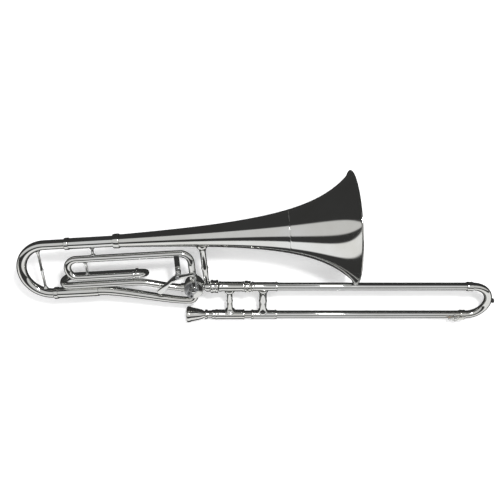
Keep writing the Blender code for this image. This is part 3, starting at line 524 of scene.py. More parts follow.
def transported(points):
    """The two cross axes at each point of a path, turned as little as possible."""
    count = len(points)
    tangents = []
    for i in range(count):
        before = points[max(i - 1, 0)]
        after = points[min(i + 1, count - 1)]
        tangents.append((after - before).normalized())
    u = tangents[0].orthogonal().normalized()
    axes = []
    for i, tangent in enumerate(tangents):
        if i:
            u = tangents[i - 1].rotation_difference(tangent) @ u
        u = (u - tangent * u.dot(tangent)).normalized()
        axes.append((u.copy(), tangent.cross(u)))
    return axes


def swept(name, points, outer, bore, frame, body, finish, sides=12):
    """A tube along a path. outer and bore are radii, or lists of them; no bore makes a rod."""
    shape = bmesh.new()
    axes = transported(points)
    outers = outer if isinstance(outer, list) else [outer] * len(points)
    count = sides * FINER
    rings = [ring(shape, p, u, v, r, count) for p, (u, v), r in zip(points, axes, outers)]
    if bore:
        bores = bore if isinstance(bore, list) else [bore] * len(points)
        inner = [ring(shape, p, u, v, r, count) for p, (u, v), r in zip(points, axes, bores)]
        rings += inner[::-1]
    skin(shape, rings, bool(bore))
    return finished(name, shape, frame, body, finish)


def line(start, end, steps=1):
    return [start.lerp(end, i / steps) for i in range(steps + 1)]


def arc(centre, u, v, radius, first, last, steps):
    """Points round a centre, from angle first to last, in degrees."""
    made = []
    steps *= SMOOTHER
    for i in range(steps + 1):
        t = math.radians(first + (last - first) * i / steps)
        made.append(centre + radius * (math.cos(t) * u + math.sin(t) * v))
    return made


def glide(start, leave, end, arrive, steps):
    """A smooth curve that leaves and arrives along two vectors."""
    made = []
    steps *= SMOOTHER
    for i in range(steps + 1):
        t = i / steps
        made.append(
            (2 * t**3 - 3 * t**2 + 1) * start
            + (t**3 - 2 * t**2 + t) * leave
            + (3 * t**2 - 2 * t**3) * end
            + (t**3 - t**2) * arrive
        )
    return made


def joined_path(*stretches):
    """One path from stretches that meet, with each meeting point kept once."""
    made = list(stretches[0])
    for stretch in stretches[1:]:
        made += stretch[1:] if (stretch[0] - made[-1]).length < 1e-6 else stretch
    return made


def cutter(name, shape_maker, frame):
    """A helper solid that only cuts or joins."""
    return shape_maker(name, frame)


def rod_cutter(name, start, end, radius, frame, sides=20):
    """A round helper from one point to another, in a frame's coordinates."""
    def make(made_name, made_frame):
        length = (end - start).length
        here = made_frame @ facing(start, end - start)
        return turned(made_name, [(0, radius), (length, radius)], here, None, "steel", sides)

    return cutter(name, make, frame)


def combine(piece, other, operation):
    modifier = piece.modifiers.new(operation.title(), "BOOLEAN")
    modifier.operation = operation
    modifier.solver = "EXACT"
    modifier.object = other


def block(name, size, frame, body, finish, bevel=0.0):
    """A box of full sizes centred on its frame, with an optional bevel."""
    shape = bmesh.new()
    bmesh.ops.create_cube(shape, size=1.0, matrix=Matrix.Diagonal((*size, 1.0)))
    if bevel:
        edges = list(shape.edges)
        bmesh.ops.bevel(shape, geom=edges, offset=bevel, segments=1, affect="EDGES")
    return finished(name, shape, frame, body, finish)


def plate(name, outline, thickness, frame, body, finish, holes=()):
    """A flat plate from an outline in its frame's XY, rising along Z, with round holes."""
    shape = bmesh.new()
    face = shape.faces.new([shape.verts.new((x, y, 0.0)) for x, y in outline])
    raised = bmesh.ops.extrude_face_region(shape, geom=[face])["geom"]
    moved = [item for item in raised if isinstance(item, bmesh.types.BMVert)]
    bmesh.ops.translate(shape, vec=(0, 0, thickness), verts=moved)
    made = finished(name, shape, frame, body, finish)
    for number, (x, y, radius) in enumerate(holes):
        start = Vector((x, y, -0.003))
        end = Vector((x, y, thickness + 0.003))
        combine(made, rod_cutter(f"{name}_hole_{number}", start, end, radius, frame, 14), "DIFFERENCE")
    return made


def rounded(start, end, radius, other_radius, steps=6):
    """The outline round two circles of different size, joined by their flanks."""
    along = (Vector(end) - Vector(start)).normalized()
    angle = math.degrees(math.atan2(along.y, along.x))
    made = []
    for centre, size, first in ((end, other_radius, angle - 90), (start, radius, angle + 90)):
        for i in range(steps + 1):
            t = math.radians(first + 180 * i / steps)
            made.append((centre[0] + size * math.cos(t), centre[1] + size * math.sin(t)))
    return made


def brace(name, start, end, start_tube, end_tube, frame, body, stem=0.0036, foot=0.0085, gap=CLEAR):
    """A turned strut between two tubes, with a saddle cut into each foot.

    start_tube and end_tube are (radius, direction) of the tubes that it stands on.
    """
    length = (end - start).length
    near = start_tube[0] * 0.75
    far = length - end_tube[0] * 0.75
    middle = length / 2
    profile = [
        (near, foot), (start_tube[0] + 0.0015, foot), (start_tube[0] + 0.0045, stem * 1.25),
        (start_tube[0] + 0.0090, stem), (middle - 0.0040, stem), (middle, stem + 0.0012),
        (middle + 0.0040, stem), (length - end_tube[0] - 0.0090, stem),
        (length - end_tube[0] - 0.0045, stem * 1.25), (length - end_tube[0] - 0.0015, foot), (far, foot),
    ]
    made = turned(name, profile, frame @ facing(start, end - start), body, "silver", 12)
    for side, centre, (radius, direction) in (("near", start, start_tube), ("far", end, end_tube)):
        reach = direction.normalized() * 0.04
        cut = rod_cutter(f"{name}_{side}", centre - reach, centre + reach, radius + gap, frame)
        combine(made, cut, "DIFFERENCE")
    return made


X = Vector((1, 0, 0))
Y = Vector((0, 1, 0))
Z = Vector((0, 0, 1))


def flare(distance):
    """The bell's outer radius at a distance behind its rim."""
    return BELL_R * ((distance + FLARE_X) / FLARE_X) ** -FLARE_POWER


def build_bell():
    """The bell's flare with its rolled rim, the stem, their seam, and the ferrule and sleeve behind."""
    flare_steps = 56
    outer = []
    for i in range(flare_steps + 1):
        distance = RIM_BEAD_R + (SEAM_X - RIM_BEAD_R) * (1 - i / flare_steps) ** 1.4
        outer.append((-distance, flare(distance)))
    bead = [
        (-RIM_BEAD_R + RIM_BEAD_R * math.cos(t), BELL_R - RIM_BEAD_R * 0.2 + RIM_BEAD_R * math.sin(t))
        for t in (math.radians(a) for a in range(100, -101, -20))
    ]
    inner = [(x, radius - BELL_WALL) for x, radius in outer[::-1]]
    profile = outer[:-1] + bead + inner[1:]
    turned("bell_flare", profile, BELL @ facing(Vector(), X), BODY, "silver", 28, True)
    stem_steps = 40
    outer = []
    for i in range(stem_steps + 1):
        distance = SEAM_X + FIT + (BELL_LENGTH - SEAM_X) * (1 - i / stem_steps) ** 1.2
        outer.append((-distance, flare(distance)))
    inner = [(x, radius - BELL_WALL) for x, radius in outer[::-1]]
    turned("bell_stem", outer + inner, BELL @ facing(Vector(), X), BODY, "silver", 24, True)
    joint = BELL_JOINT_X
    profile = [
        (joint - 0.0080, 0.0160), (joint - 0.0050, 0.0172), (joint + 0.0040, 0.0176),
        (joint + 0.0075, 0.0168), (joint + 0.0075, flare(0.5440) + 2 * FIT),
        (joint - 0.0003, flare(0.5440) + 2 * FIT), (joint - 0.0003, 0.0137), (joint - 0.0080, 0.0137),
    ]
    turned("bell_stem_ferrule", profile, BELL @ facing(Vector(), X), BODY, "silver", 12, True)
    profile = sleeve_profile(UPPER_SLEEVE_END, joint - 0.0006, *SLEEVE)
    turned("tuning_sleeve_bell", profile, BELL @ facing(Vector(), X), BODY, "silver", 12, True)


def build_tuning_slide():
    """The crook with its ferrules and brace, and its two legs inside the sleeves."""
    drop = Vector((0, -2 * CROOK_R, 0))
    bend_top = Vector((CROOK_X, 0, 0))
    points = joined_path(
        line(Vector((UPPER_SLEEVE_END - 0.0060, 0, 0)), bend_top),
        arc(bend_top + drop / 2, X, Y, CROOK_R, 90, 270, 12),
        line(bend_top + drop, Vector((LOWER_SLEEVE_END - 0.0060, drop.y, 0))),
    )
    swept("tuning_crook", points, *CROOK_TUBE, BELL, TUNING, "silver", 12)
    ends = (
        ("bell", Vector(), UPPER_SLEEVE_END, 0.0920),
        ("neck", drop, LOWER_SLEEVE_END, 0.0850),
    )
    for side, line_at, sleeve_end, reach in ends:
        start = sleeve_end - 0.0057
        frame = BELL @ facing(line_at, X)
        profile = sleeve_profile(start, sleeve_end + reach, *LEG)
        turned(f"tuning_leg_{side}", profile, frame, TUNING, "silver", 12, True)
        profile = [
            (start - 0.0055, 0.0128), (start - 0.0035, 0.0145), (sleeve_end - 0.0010, 0.0145),
            (sleeve_end - 0.0003, 0.0138), (sleeve_end - 0.0003, 0.0122), (start - 0.0055, 0.0122),
        ]
        turned(f"tuning_ferrule_{side}", profile, frame, TUNING, "silver", 12, True)
    sleeve_frame = BELL @ facing(drop, X)
    profile = sleeve_profile(LOWER_SLEEVE_END, LOWER_SLEEVE_START, *SLEEVE)
    turned("tuning_sleeve_neck", profile, sleeve_frame, BODY, "silver", 12, True)
    brace_x = CROOK_X - 0.0180
    half = math.sqrt(CROOK_R**2 - 0.0180**2)
    top = Vector((brace_x, half - CROOK_R, 0))
    bottom = Vector((brace_x, -half - CROOK_R, 0))
    lean = Vector((1, 0.29, 0))
    brace(
        "tuning_brace", bottom, top, (CROOK_TUBE[0], Vector((1, -0.29, 0))), (CROOK_TUBE[0], lean),
        BELL, TUNING, 0.0030, 0.0060, 0.0012,
    )


def build_neckpipe():
    """From the lower sleeve, tapering to the valve's lower port through a tight elbow."""
    bend = 0.0120
    port = VALVE - Y * (NECK_PORT_REACH - 0.0018)
    turn = arc(port + Vector((-bend, 0, 0)), X, Y, bend, 0, -90, 4)
    start = Vector((LOWER_SLEEVE_START + FIT, -2 * CROOK_R, 0))
    run = [start] + glide(start + X * 0.003, X * 0.14, turn[-1], X * 0.14, 7)
    points = run[:-1] + turn[::-1]
    count = len(points)
    outers = []
    for i in range(count):
        share = min(i / (len(run) - 1), 1.0)
        outers.append(0.0120 - 0.0036 * share)
    bores = [radius - 0.0008 for radius in outers]
    swept("neckpipe", points, outers, bores, BELL, BODY, "silver", 12)


def build_valve():
    """The casing with four ports, the rotor with two passages, and the parts at its two ends."""
    frame = BELL @ Matrix.Translation(VALVE)
    half = CASING_HALF
    profile = [(-half, CASING[0]), (half, CASING[0])]
    casing = turned("valve_casing", profile, frame, BODY, "silver", 24)
    deep = Z * (half + 0.01)
    bore = rod_cutter("casing_bore", -deep, deep, CASING[1], frame, 24)
    ports = {
        "slide": (X, SLIDE_PORT_REACH), "neck": (-Y, NECK_PORT_REACH),
        "return": (-X, PORT_REACH), "out": (Y, PORT_REACH),
    }
    for side, (direction, length) in ports.items():
        reach = rod_cutter(f"port_{side}", direction * 0.018, direction * length, PORT[0], frame, 14)
        combine(casing, reach, "UNION")
    combine(casing, bore, "DIFFERENCE")
    for side, (direction, _) in ports.items():
        hole = rod_cutter(f"port_hole_{side}", direction * 0.012, direction * 0.04, PORT[1], frame, 14)
        combine(casing, hole, "DIFFERENCE")

    profile = [
        (-half - 0.0030, 0.0035), (-half + 0.0020, 0.0035), (-half + 0.0020, ROTOR_R),
        (half - 0.0035, ROTOR_R), (half - 0.0035, 0.0040), (half + 0.0110, 0.0040),
    ]
    rotor = turned("valve_rotor", profile, frame, ROTOR, "silver", 24)
    for side, sign in (("low", 1), ("high", -1)):
        centre = Vector((sign * ROTOR_R, -sign * ROTOR_R, 0)) * 1.02
        path = arc(centre, -X * sign, Y * sign, ROTOR_R * 1.02, -14, 104, 6)
        made = swept(f"rotor_passage_{side}", path, PASSAGE_R, None, frame, None, "steel", 10)
        combine(rotor, made, "DIFFERENCE")

    profile = [
        (half - 0.0030, CASING[1] - 0.0004), (half + FIT, CASING[1] - 0.0004), (half + FIT, 0.0228),
        (half + 0.0028, 0.0228), (half + 0.0035, 0.0221), (half + 0.0035, 0.0095), (half + 0.0060, 0.0085),
        (half + 0.0060, 0.0045), (half - 0.0030, 0.0045),
    ]
    turned("valve_bearing_plate", profile, frame, BODY, "silver", 16, True)
    profile = [
        (-half - 0.0052, 0.0), (-half - 0.0052, 0.0120), (-half - 0.0035, 0.0228), (-half - FIT, 0.0235),
        (-half - FIT, CASING[1] - 0.0004), (-half + 0.0010, CASING[1] - 0.0004),
        (-half + 0.0010, 0.0040), (-half - 0.0035, 0.0040), (-half - 0.0035, 0.0),
    ]
    turned("valve_cap", profile, frame, BODY, "silver", 18)


def round_point(radius, degrees):
    t = math.radians(degrees)
    return radius * math.cos(t), radius * math.sin(t)


def build_valve_stops():
    """The arm on the rotor's stem, and the plate with two bumpers that its lug turns between."""
    level = CASING_HALF + 0.0075
    frame = BELL @ Matrix.Translation(VALVE + Z * level)
    pin_spot = round_point(LINK_ARM_R, 45)
    lug = round_point(0.0165, 225)
    arm = plate(
        "rotor_stop_arm", rounded((0, 0), pin_spot, 0.0072, 0.0032), 0.0030, frame, ROTOR, "steel",
        [(0, 0, 0.0043)],
    )
    lug_bar = cutter(
        "stop_arm_lug",
        lambda name, here: block(name, (0.0130, 0.0050, 0.0030), here, None, "steel"),
        frame
        @ Matrix.Translation((lug[0] * 0.7, lug[1] * 0.7, 0.0015))
        @ Matrix.Rotation(math.radians(225), 4, "Z"),
    )
    pin_foot = Vector((*pin_spot, 0.001))
    pin = rod_cutter("stop_arm_pin", pin_foot, pin_foot + Z * 0.0085, LINK_PIN_R, frame, 12)
    combine(arm, lug_bar, "UNION")
    combine(arm, pin, "UNION")
    plate_frame = BELL @ Matrix.Translation(VALVE + Z * (CASING_HALF + 0.0035 + FIT))
    outline = [round_point(0.0215, 180 + 12 * step) for step in range(-7, 8)]
    outline += [round_point(0.0118, 180 + 14 * step) for step in range(6, -7, -1)]
    plate("valve_stop_plate", outline, 0.0022, plate_frame, BODY, "steel")
    for name, degrees in (("stop_bumper_rest", 246), ("stop_bumper_pressed", 114)):
        spot = Vector((*round_point(0.0150, degrees), 0.0022 + FIT))
        profile = [(0, 0.0024), (0.0048, 0.0024)]
        turned(name, profile, plate_frame @ Matrix.Translation(spot), BODY, "rubber", 10)


def build_f_loop():
    """Two long tubes of the F loop and the slide bow between them."""
    bend = 0.0260
    top = Vector((VALVE.x, F_OUT_Y - bend, F_LEVEL))
    level = Vector((0, 0, F_LEVEL))
    points = joined_path(
        glide(VALVE + Vector((0, PORT_REACH - 0.006, 0)), Y * 0.045, top, Y * 0.045, 3),
        arc(top - X * bend, X, Y, bend, 0, 90, 5),
        [Vector((VALVE.x - bend, F_OUT_Y, F_LEVEL)), Vector((F_REAR_X, F_OUT_Y, F_LEVEL))],
        arc(Vector((F_REAR_X, F_OUT_Y - F_BEND, 0)) + level, X, Y, F_BEND, 90, 270, 8),
        [
            Vector((F_REAR_X, F_OUT_Y - 2 * F_BEND, F_LEVEL)),
            Vector((F_SLIDE_X - 0.008, F_OUT_Y - 2 * F_BEND, F_LEVEL)),
        ],
    )
    swept("f_tube_out", points, *F_TUBE, BELL, BODY, "silver", 10)

    low = Vector((F_RETURN_X, F_LOW_Y, F_LOW_LEVEL))
    high = Vector((F_RETURN_X, F_RETURN_Y, F_LEVEL))
    rise = (high - low).normalized()
    half = (high - low).length / 2
    points = joined_path(
        [Vector((F_SLIDE_X - 0.008, F_LOW_Y, F_LOW_LEVEL)), low],
        arc((low + high) / 2, -rise, -X, half, 0, 180, 8),
        [high, Vector((-0.5200, F_RETURN_Y, F_LEVEL))],
        glide(
            Vector((-0.5200, F_RETURN_Y, F_LEVEL)), X * 0.10,
            VALVE - X * (PORT_REACH - 0.006), X * 0.10, 5,
        ),
    )
    swept("f_tube_return", points, *F_TUBE, BELL, BODY, "silver", 10)

    bow_top = Vector((F_SLIDE_X, F_OUT_Y - 2 * F_BEND, F_LEVEL))
    bow_low = Vector((F_SLIDE_X, F_LOW_Y, F_LOW_LEVEL))
    fall = (bow_low - bow_top).normalized()
    radius = (bow_low - bow_top).length / 2
    reach = 0.080
    inner, bore = F_LEG
    points = joined_path(
        [bow_top - X * reach, bow_top - X * 0.0070, bow_top - X * 0.0068],
        arc((bow_top + bow_low) / 2, -fall, X, radius, 0, 180, 8),
        [bow_low - X * 0.0068, bow_low - X * 0.0070, bow_low - X * reach],
    )
    outers = [inner] * 2 + [F_TUBE[0]] * (len(points) - 4) + [inner] * 2
    swept("f_slide_bow", points, outers, bore, BELL, F_SLIDE, "silver", 10)
    for name, spot in (("f_slide_ferrule_upper", bow_top), ("f_slide_ferrule_lower", bow_low)):
        profile = [
            (-0.0072, 0.0098), (-0.0060, 0.0106), (-0.0020, 0.0106), (-0.0008, 0.0098),
            (-0.0008, 0.0089), (-0.0072, 0.0089),
        ]
        turned(name, profile, BELL @ facing(spot, X), F_SLIDE, "silver", 12, True)


def build_struts():
    """Small struts that tie the F loop to the bell stem, and its two upper tubes together."""
    spot = Vector((-0.6100, 0, 0))
    f_out = Vector((-0.6100, F_OUT_Y, F_LEVEL))
    short_strut("f_strut_bell", spot, f_out, SLEEVE[0], F_TUBE[0])
    upper = Vector((-0.6300, F_OUT_Y, F_LEVEL))
    lower = Vector((-0.6300, F_OUT_Y - 2 * F_BEND, F_LEVEL))
    short_strut("f_strut_loop", upper, lower, F_TUBE[0], F_TUBE[0])


def short_strut(name, start, end, start_radius, end_radius):
    """A plain waisted strut between two tubes that both run along X."""
    length = (end - start).length
    near = start_radius + 0.0040
    far = length - end_radius - 0.0040
    profile = [
        (start_radius * 0.8, 0.0060), (start_radius + 0.0010, 0.0060), (near, 0.0030),
        (far, 0.0030), (length - end_radius - 0.0010, 0.0060), (length - end_radius * 0.8, 0.0060),
    ]
    made = turned(name, profile, BELL @ facing(start, end - start), BODY, "silver", 12)
    for side, centre, radius in (("near", start, start_radius), ("far", end, end_radius)):
        cut = rod_cutter(f"{name}_{side}", centre - X * 0.03, centre + X * 0.03, radius + 1.6 * CLEAR, BELL)
        combine(made, cut, "DIFFERENCE")


def build_receiver():
    """The tube from the valve that takes the slide, the lock nut, and the grip brace."""
    start = -0.1092
    profile = [
        (start, 0.0104), (-0.1060, 0.0104), (-0.1060, 0.0125), (-0.0975, 0.0125), (-0.0960, 0.0110),
        (-0.0800, 0.0110), (-0.0800, 0.0078), (start, 0.0074),
    ]
    turned("bell_receiver", profile, SLIDE @ facing(Vector(), X), BODY, "silver", 12, True)
    profile = [
        (-0.0955, 0.0150), (-0.0940, 0.0162), (-0.0900, 0.0162), (-0.0890, 0.0152), (-0.0830, 0.0152),
        (-0.0815, 0.0162), (-0.0780, 0.0162), (-0.0770, 0.0148), (-0.0770, 0.0128),
        (-0.0790, 0.0128), (-0.0790, 0.0116), (-0.0955, 0.0116),
    ]
    turned("bell_lock_nut", profile, SLIDE @ facing(Vector(), X), NUT, "silver", 12, True)
    to_bell = BELL.inverted() @ SLIDE
    foot = to_bell @ Vector((-0.1040, 0, 0))
    slide_axis = (to_bell.to_3x3() @ X).normalized()
    top = Vector((foot.x - 0.004, 0, 0))
    distance = -top.x
    slope = (flare(distance - 0.01) - flare(distance + 0.01)) / 0.02
    brace_x = top.x
    saddle = flare(distance)
    near = saddle + 0.0002
    length = (foot - top).length
    profile = [
        (saddle * 0.80, 0.0135), (near + 0.0030, 0.0135), (near + 0.0080, 0.0090), (near + 0.0160, 0.0072),
        (length * 0.58, 0.0072), (length * 0.62, 0.0086), (length * 0.66, 0.0072),
        (length - 0.0230, 0.0060), (length - 0.0180, 0.0068), (length - 0.0095, 0.0068),
    ]
    made = turned("grip_brace", profile, BELL @ facing(top, foot - top), BODY, "silver", 14)
    cone = cutter(
        "grip_brace_bell",
        lambda name, frame: turned(
            name,
            [(-0.04, saddle - 0.04 * slope + 0.0009), (0.04, saddle + 0.04 * slope + 0.0009)],
            frame @ facing(Vector((brace_x, 0, 0)), X), None, "steel", 40,
        ),
        BELL,
    )
    combine(made, cone, "DIFFERENCE")
    along = slide_axis * 0.03
    cut = rod_cutter("grip_brace_slide", foot - along, foot + along, 0.0125 + CLEAR, BELL)
    combine(made, cut, "DIFFERENCE")


def build_lever():
    """The thumb lever with its bracket, pivot screw and spring, and the link to the rotor."""
    frame = BELL @ Matrix.Translation(LEVER_PIVOT)
    tail = LINK_TAIL
    outline = [
        (-0.0500, -0.0390), (-0.0440, -0.0425), (-0.0370, -0.0400), (-0.0200, -0.0190), (-0.0060, -0.0075),
        (0.0050, -0.0060), (0.0200, 0.0000), (0.0390, 0.0037), (0.0430, 0.0060), (0.0434, 0.0095),
        (0.0400, 0.0120), (0.0190, 0.0070), (0.0050, 0.0064), (-0.0030, 0.0068), (-0.0100, 0.0030),
        (-0.0280, -0.0130), (-0.0470, -0.0290), (-0.0520, -0.0340),
    ]
    plate("thumb_lever", outline, 0.0030, frame, LEVER, "silver", [(0, 0, 0.0024), (*tail, 0.0016)])
    screw = [
        (-0.0118, 0.0020), (0.0036, 0.0020), (0.0036, 0.0046), (0.0052, 0.0046), (0.0060, 0.0036),
    ]
    turned("lever_pivot_screw", screw, frame, BODY, "steel", 12)

    post_top = -0.0004
    post = turned(
        "lever_bracket",
        [
            (-0.0300, 0.0062), (-0.0180, 0.0062), (-0.0140, 0.0046),
            (post_top - 0.0030, 0.0046), (post_top, 0.0060),
        ],
        frame, BODY, "silver", 14,
    )
    hole = rod_cutter("bracket_hole", Vector((0, 0, -0.0122)), Vector((0, 0, 0.004)), 0.0024, frame, 12)
    combine(post, hole, "DIFFERENCE")
    saddle_bar = cutter(
        "bracket_bar",
        lambda name, bar_frame: block(name, (0.012, 0.056, 0.0050), bar_frame, None, "silver"),
        frame @ Matrix.Translation((0, 0.0180, -0.0215)),
    )
    combine(post, saddle_bar, "UNION")
    to_pivot = -LEVER_PIVOT
    under = Vector((LEVER_PIVOT.x, F_OUT_Y, F_LEVEL)) + to_pivot
    cut = rod_cutter(
        "bracket_saddle", under - X * 0.03, under + X * 0.03, F_TUBE[0] + 1.6 * CLEAR, frame,
    )
    combine(post, cut, "DIFFERENCE")
    turns = 3
    coil = []
    for i in range(turns * 8 + 1):
        t = 2 * math.pi * i / 8
        coil.append(Vector((0.0066 * math.cos(t), 0.0066 * math.sin(t), -0.0042 - 0.0026 * i / 8)))
    coil.append(coil[-1] + Vector((-0.004, 0.009, 0)))
    swept("lever_spring", coil, 0.0006, None, frame, BODY, "steel", 5)

    build_link()


def build_link():
    """The rod from the lever's tail down to the eye round the rotor arm's pin."""
    near = LEVER_PIVOT + Vector((*LINK_TAIL, 0))
    far = VALVE + Vector((*round_point(LINK_ARM_R, 45), 0))
    near.z = LINK_LEVEL
    far.z = LINK_LEVEL
    far.x += 0.0012
    rod = swept("linkage_rod", [near, near.lerp(far, 0.5), far], 0.0014, None, BELL, LINK, "steel", 10)
    top = LEVER_PIVOT.z + 0.0030
    pieces = (
        ("link_collar", near, LINK_LEVEL - 0.0014, LEVER_PIVOT.z - 0.0006, 0.0026),
        ("link_stud", near, LINK_LEVEL, top + 0.0020, 0.0011),
        ("link_head", near, top + 0.0004, top + 0.0024, 0.0026),
        ("link_foot", far, LINK_LEVEL - 0.0020, LINK_LEVEL + 0.0020, 0.0046),
    )
    for name, spot, low, high, radius in pieces:
        bar = rod_cutter(name, Vector((*spot.xy, low)), Vector((*spot.xy, high)), radius, BELL, 12)
        combine(rod, bar, "UNION")
    eye_foot = Vector((*far.xy, LINK_LEVEL - 0.01))
    eye = rod_cutter("link_eye", eye_foot, eye_foot + Z * 0.02, LINK_EYE_R, BELL, 14)
    combine(rod, eye, "DIFFERENCE")


def build_slide_static():
    """Cork barrels, inner tubes, inner brace, receiver and leadpipe."""
    mouth = Vector((0, -SLIDE_GAP, 0))
    for side, spot, back in (("bell", Vector(), -0.0760), ("mouth", mouth, -0.0880)):
        frame = SLIDE @ facing(spot, X)
        profile = [
            (back, 0.0112), (back + 0.0015, 0.0126), (back + 0.0060, 0.0126), (back + 0.0075, BARREL[0]),
            (-0.0190, BARREL[0]), (-0.0175, 0.0127), (-0.0140, 0.0127), (-0.0140, BARREL[1]),
            (-0.0650, BARREL[1]), (-0.0650, 0.0088), (back, 0.0088),
        ]
        turned(f"cork_barrel_{side}", profile, frame, BODY, "silver", 12, True)
        profile = sleeve_profile(-0.0640, -0.0430, BARREL[1] - FIT, 0.0088)
        turned(f"barrel_cork_{side}", profile, frame, BODY, "cork", 12, True)
        profile = sleeve_profile(-0.0750, 0.5260, *INNER_TUBE)
        turned(f"inner_tube_{side}", profile, frame, BODY, "silver", 12, True)
    brace(
        "inner_brace", Vector((INNER_BRACE_X, -SLIDE_GAP, 0)), Vector((INNER_BRACE_X, 0, 0)),
        (BARREL[0], X), (BARREL[0], X), SLIDE, BODY, 0.0068, 0.0130,
    )
    frame = SLIDE @ facing(mouth, X)
    profile = [
        (-0.1130, 0.0112), (-0.1115, 0.0122), (-0.1075, 0.0122), (-0.1060, 0.0098), (-0.0960, 0.0098),
        (-0.0945, 0.0115), (-0.0883, 0.0115), (-0.0883, 0.0082), (-0.1130, 0.0086),
    ]
    turned("mouthpiece_receiver", profile, frame, BODY, "silver", 12, True)
    profile = sleeve_profile(-0.0720, 0.1200, INNER_TUBE[1] - 2 * FIT, 0.0062)
    turned("leadpipe", profile, frame, BODY, "silver", 12, True)


def build_mouthpiece():
    """A cup mouthpiece, bored through, that pulls out of its receiver."""
    face = MOUTHPIECE_X
    outer = [
        (face + 0.0010, MOUTHPIECE_R - 0.0008), (face + 0.0030, MOUTHPIECE_R),
        (face + 0.0075, MOUTHPIECE_R - 0.0006),
        (face + 0.0120, 0.0178), (face + 0.0200, 0.0160), (face + 0.0300, 0.0138), (face + 0.0380, 0.0118),
        (face + 0.0420, 0.0092), (face + 0.0460, 0.0078), (face + 0.0700, 0.0072), (face + 0.0830, 0.0066),
    ]
    bore = [
        (face + 0.0830, 0.0052), (face + 0.0400, 0.0037), (face + 0.0340, 0.0042), (face + 0.0260, 0.0090),
        (face + 0.0180, 0.0118), (face + 0.0060, 0.0132), (face + 0.0015, 0.0142), (face, 0.0165),
    ]
    frame = SLIDE @ facing(Vector((0, -SLIDE_GAP, 0)), X)
    turned("mouthpiece", outer + bore, frame, MOUTHPIECE, "silver", 16, True)


def build_hand_slide():
    """Outer tubes, oversleeves and handle brace, the slide bow and its ferrules and bumper."""
    mouth = Vector((0, -SLIDE_GAP, 0))
    bow = SLIDE_BOW_X
    for side, spot in (("bell", Vector()), ("mouth", mouth)):
        frame = SLIDE @ facing(spot, X)
        profile = sleeve_profile(-0.0380, bow - 0.0086, *OUTER_TUBE)
        turned(f"outer_tube_{side}", profile, frame, HAND, "silver", 12, True)
        profile = [
            (0.0030, 0.0108), (0.0040, 0.0120), (0.0080, 0.0120), (0.0090, OVERSLEEVE[0]),
            (0.0620, OVERSLEEVE[0]), (0.0630, 0.0118), (0.0660, 0.0118), (0.0670, 0.0106),
            (0.0670, 0.0100), (0.0030, 0.0100),
        ]
        turned(f"oversleeve_{side}", profile, frame, HAND, "silver", 12, True)
        profile = [
            (bow - 0.0160, 0.0106), (bow - 0.0145, 0.0116), (bow - 0.0110, 0.0116),
            (bow - 0.0095, SLIDE_FERRULE[0]),
            (bow - 0.0050, SLIDE_FERRULE[0]), (bow - 0.0035, 0.0116), (bow - 0.0008, 0.0112),
            (bow - 0.0008, 0.0101), (bow - 0.0160, 0.0101),
        ]
        turned(f"bow_ferrule_{side}", profile, frame, HAND, "silver", 12, True)
    brace(
        "handle_brace", Vector((HANDLE_X, -SLIDE_GAP, 0)), Vector((HANDLE_X, 0, 0)),
        (OVERSLEEVE[0], X), (OVERSLEEVE[0], X), SLIDE, HAND, 0.0090, 0.0125,
    )
    radius = SLIDE_GAP / 2
    centre = Vector((bow, -radius, 0))
    points = joined_path(
        [Vector((bow - 0.0080, 0, 0)), Vector((bow, 0, 0))],
        arc(centre, Y, X, radius, 0, 180, 12),
        [Vector((bow, -2 * radius, 0)), Vector((bow - 0.0080, -2 * radius, 0))],
    )
    swept("slide_bow", points, *OUTER_TUBE, SLIDE, HAND, "silver", 12)
    tip = centre + X * (radius + OUTER_TUBE[0] + 0.0006)
    profile = [(0, 0.0052), (0.0020, 0.0060), (0.0040, 0.0056), (0.0052, 0.0042)]
    turned("bow_bumper", profile, SLIDE @ facing(tip, X), HAND, "rubber", 12)


def build_slide_lock():
    """A ring that turns on the bell-side oversleeve's end and hooks the handle to the barrel."""
    frame = SLIDE @ facing(Vector(), X)
    profile = [
        (-0.0134, 0.0130), (-0.0122, 0.0142), (-0.0060, 0.0142), (-0.0050, 0.0134), (0.0018, 0.0134),
        (0.0018, 0.0102), (-0.0134, 0.0102),
    ]
    lock = turned("slide_lock_ring", profile, frame, LOCK, "silver", 16, True)
    knob_foot = Vector((-0.006, 0, 0.0120))
    knob = rod_cutter("lock_knob", knob_foot, knob_foot + Z * 0.0080, 0.0030, SLIDE, 12)
    combine(lock, knob, "UNION")


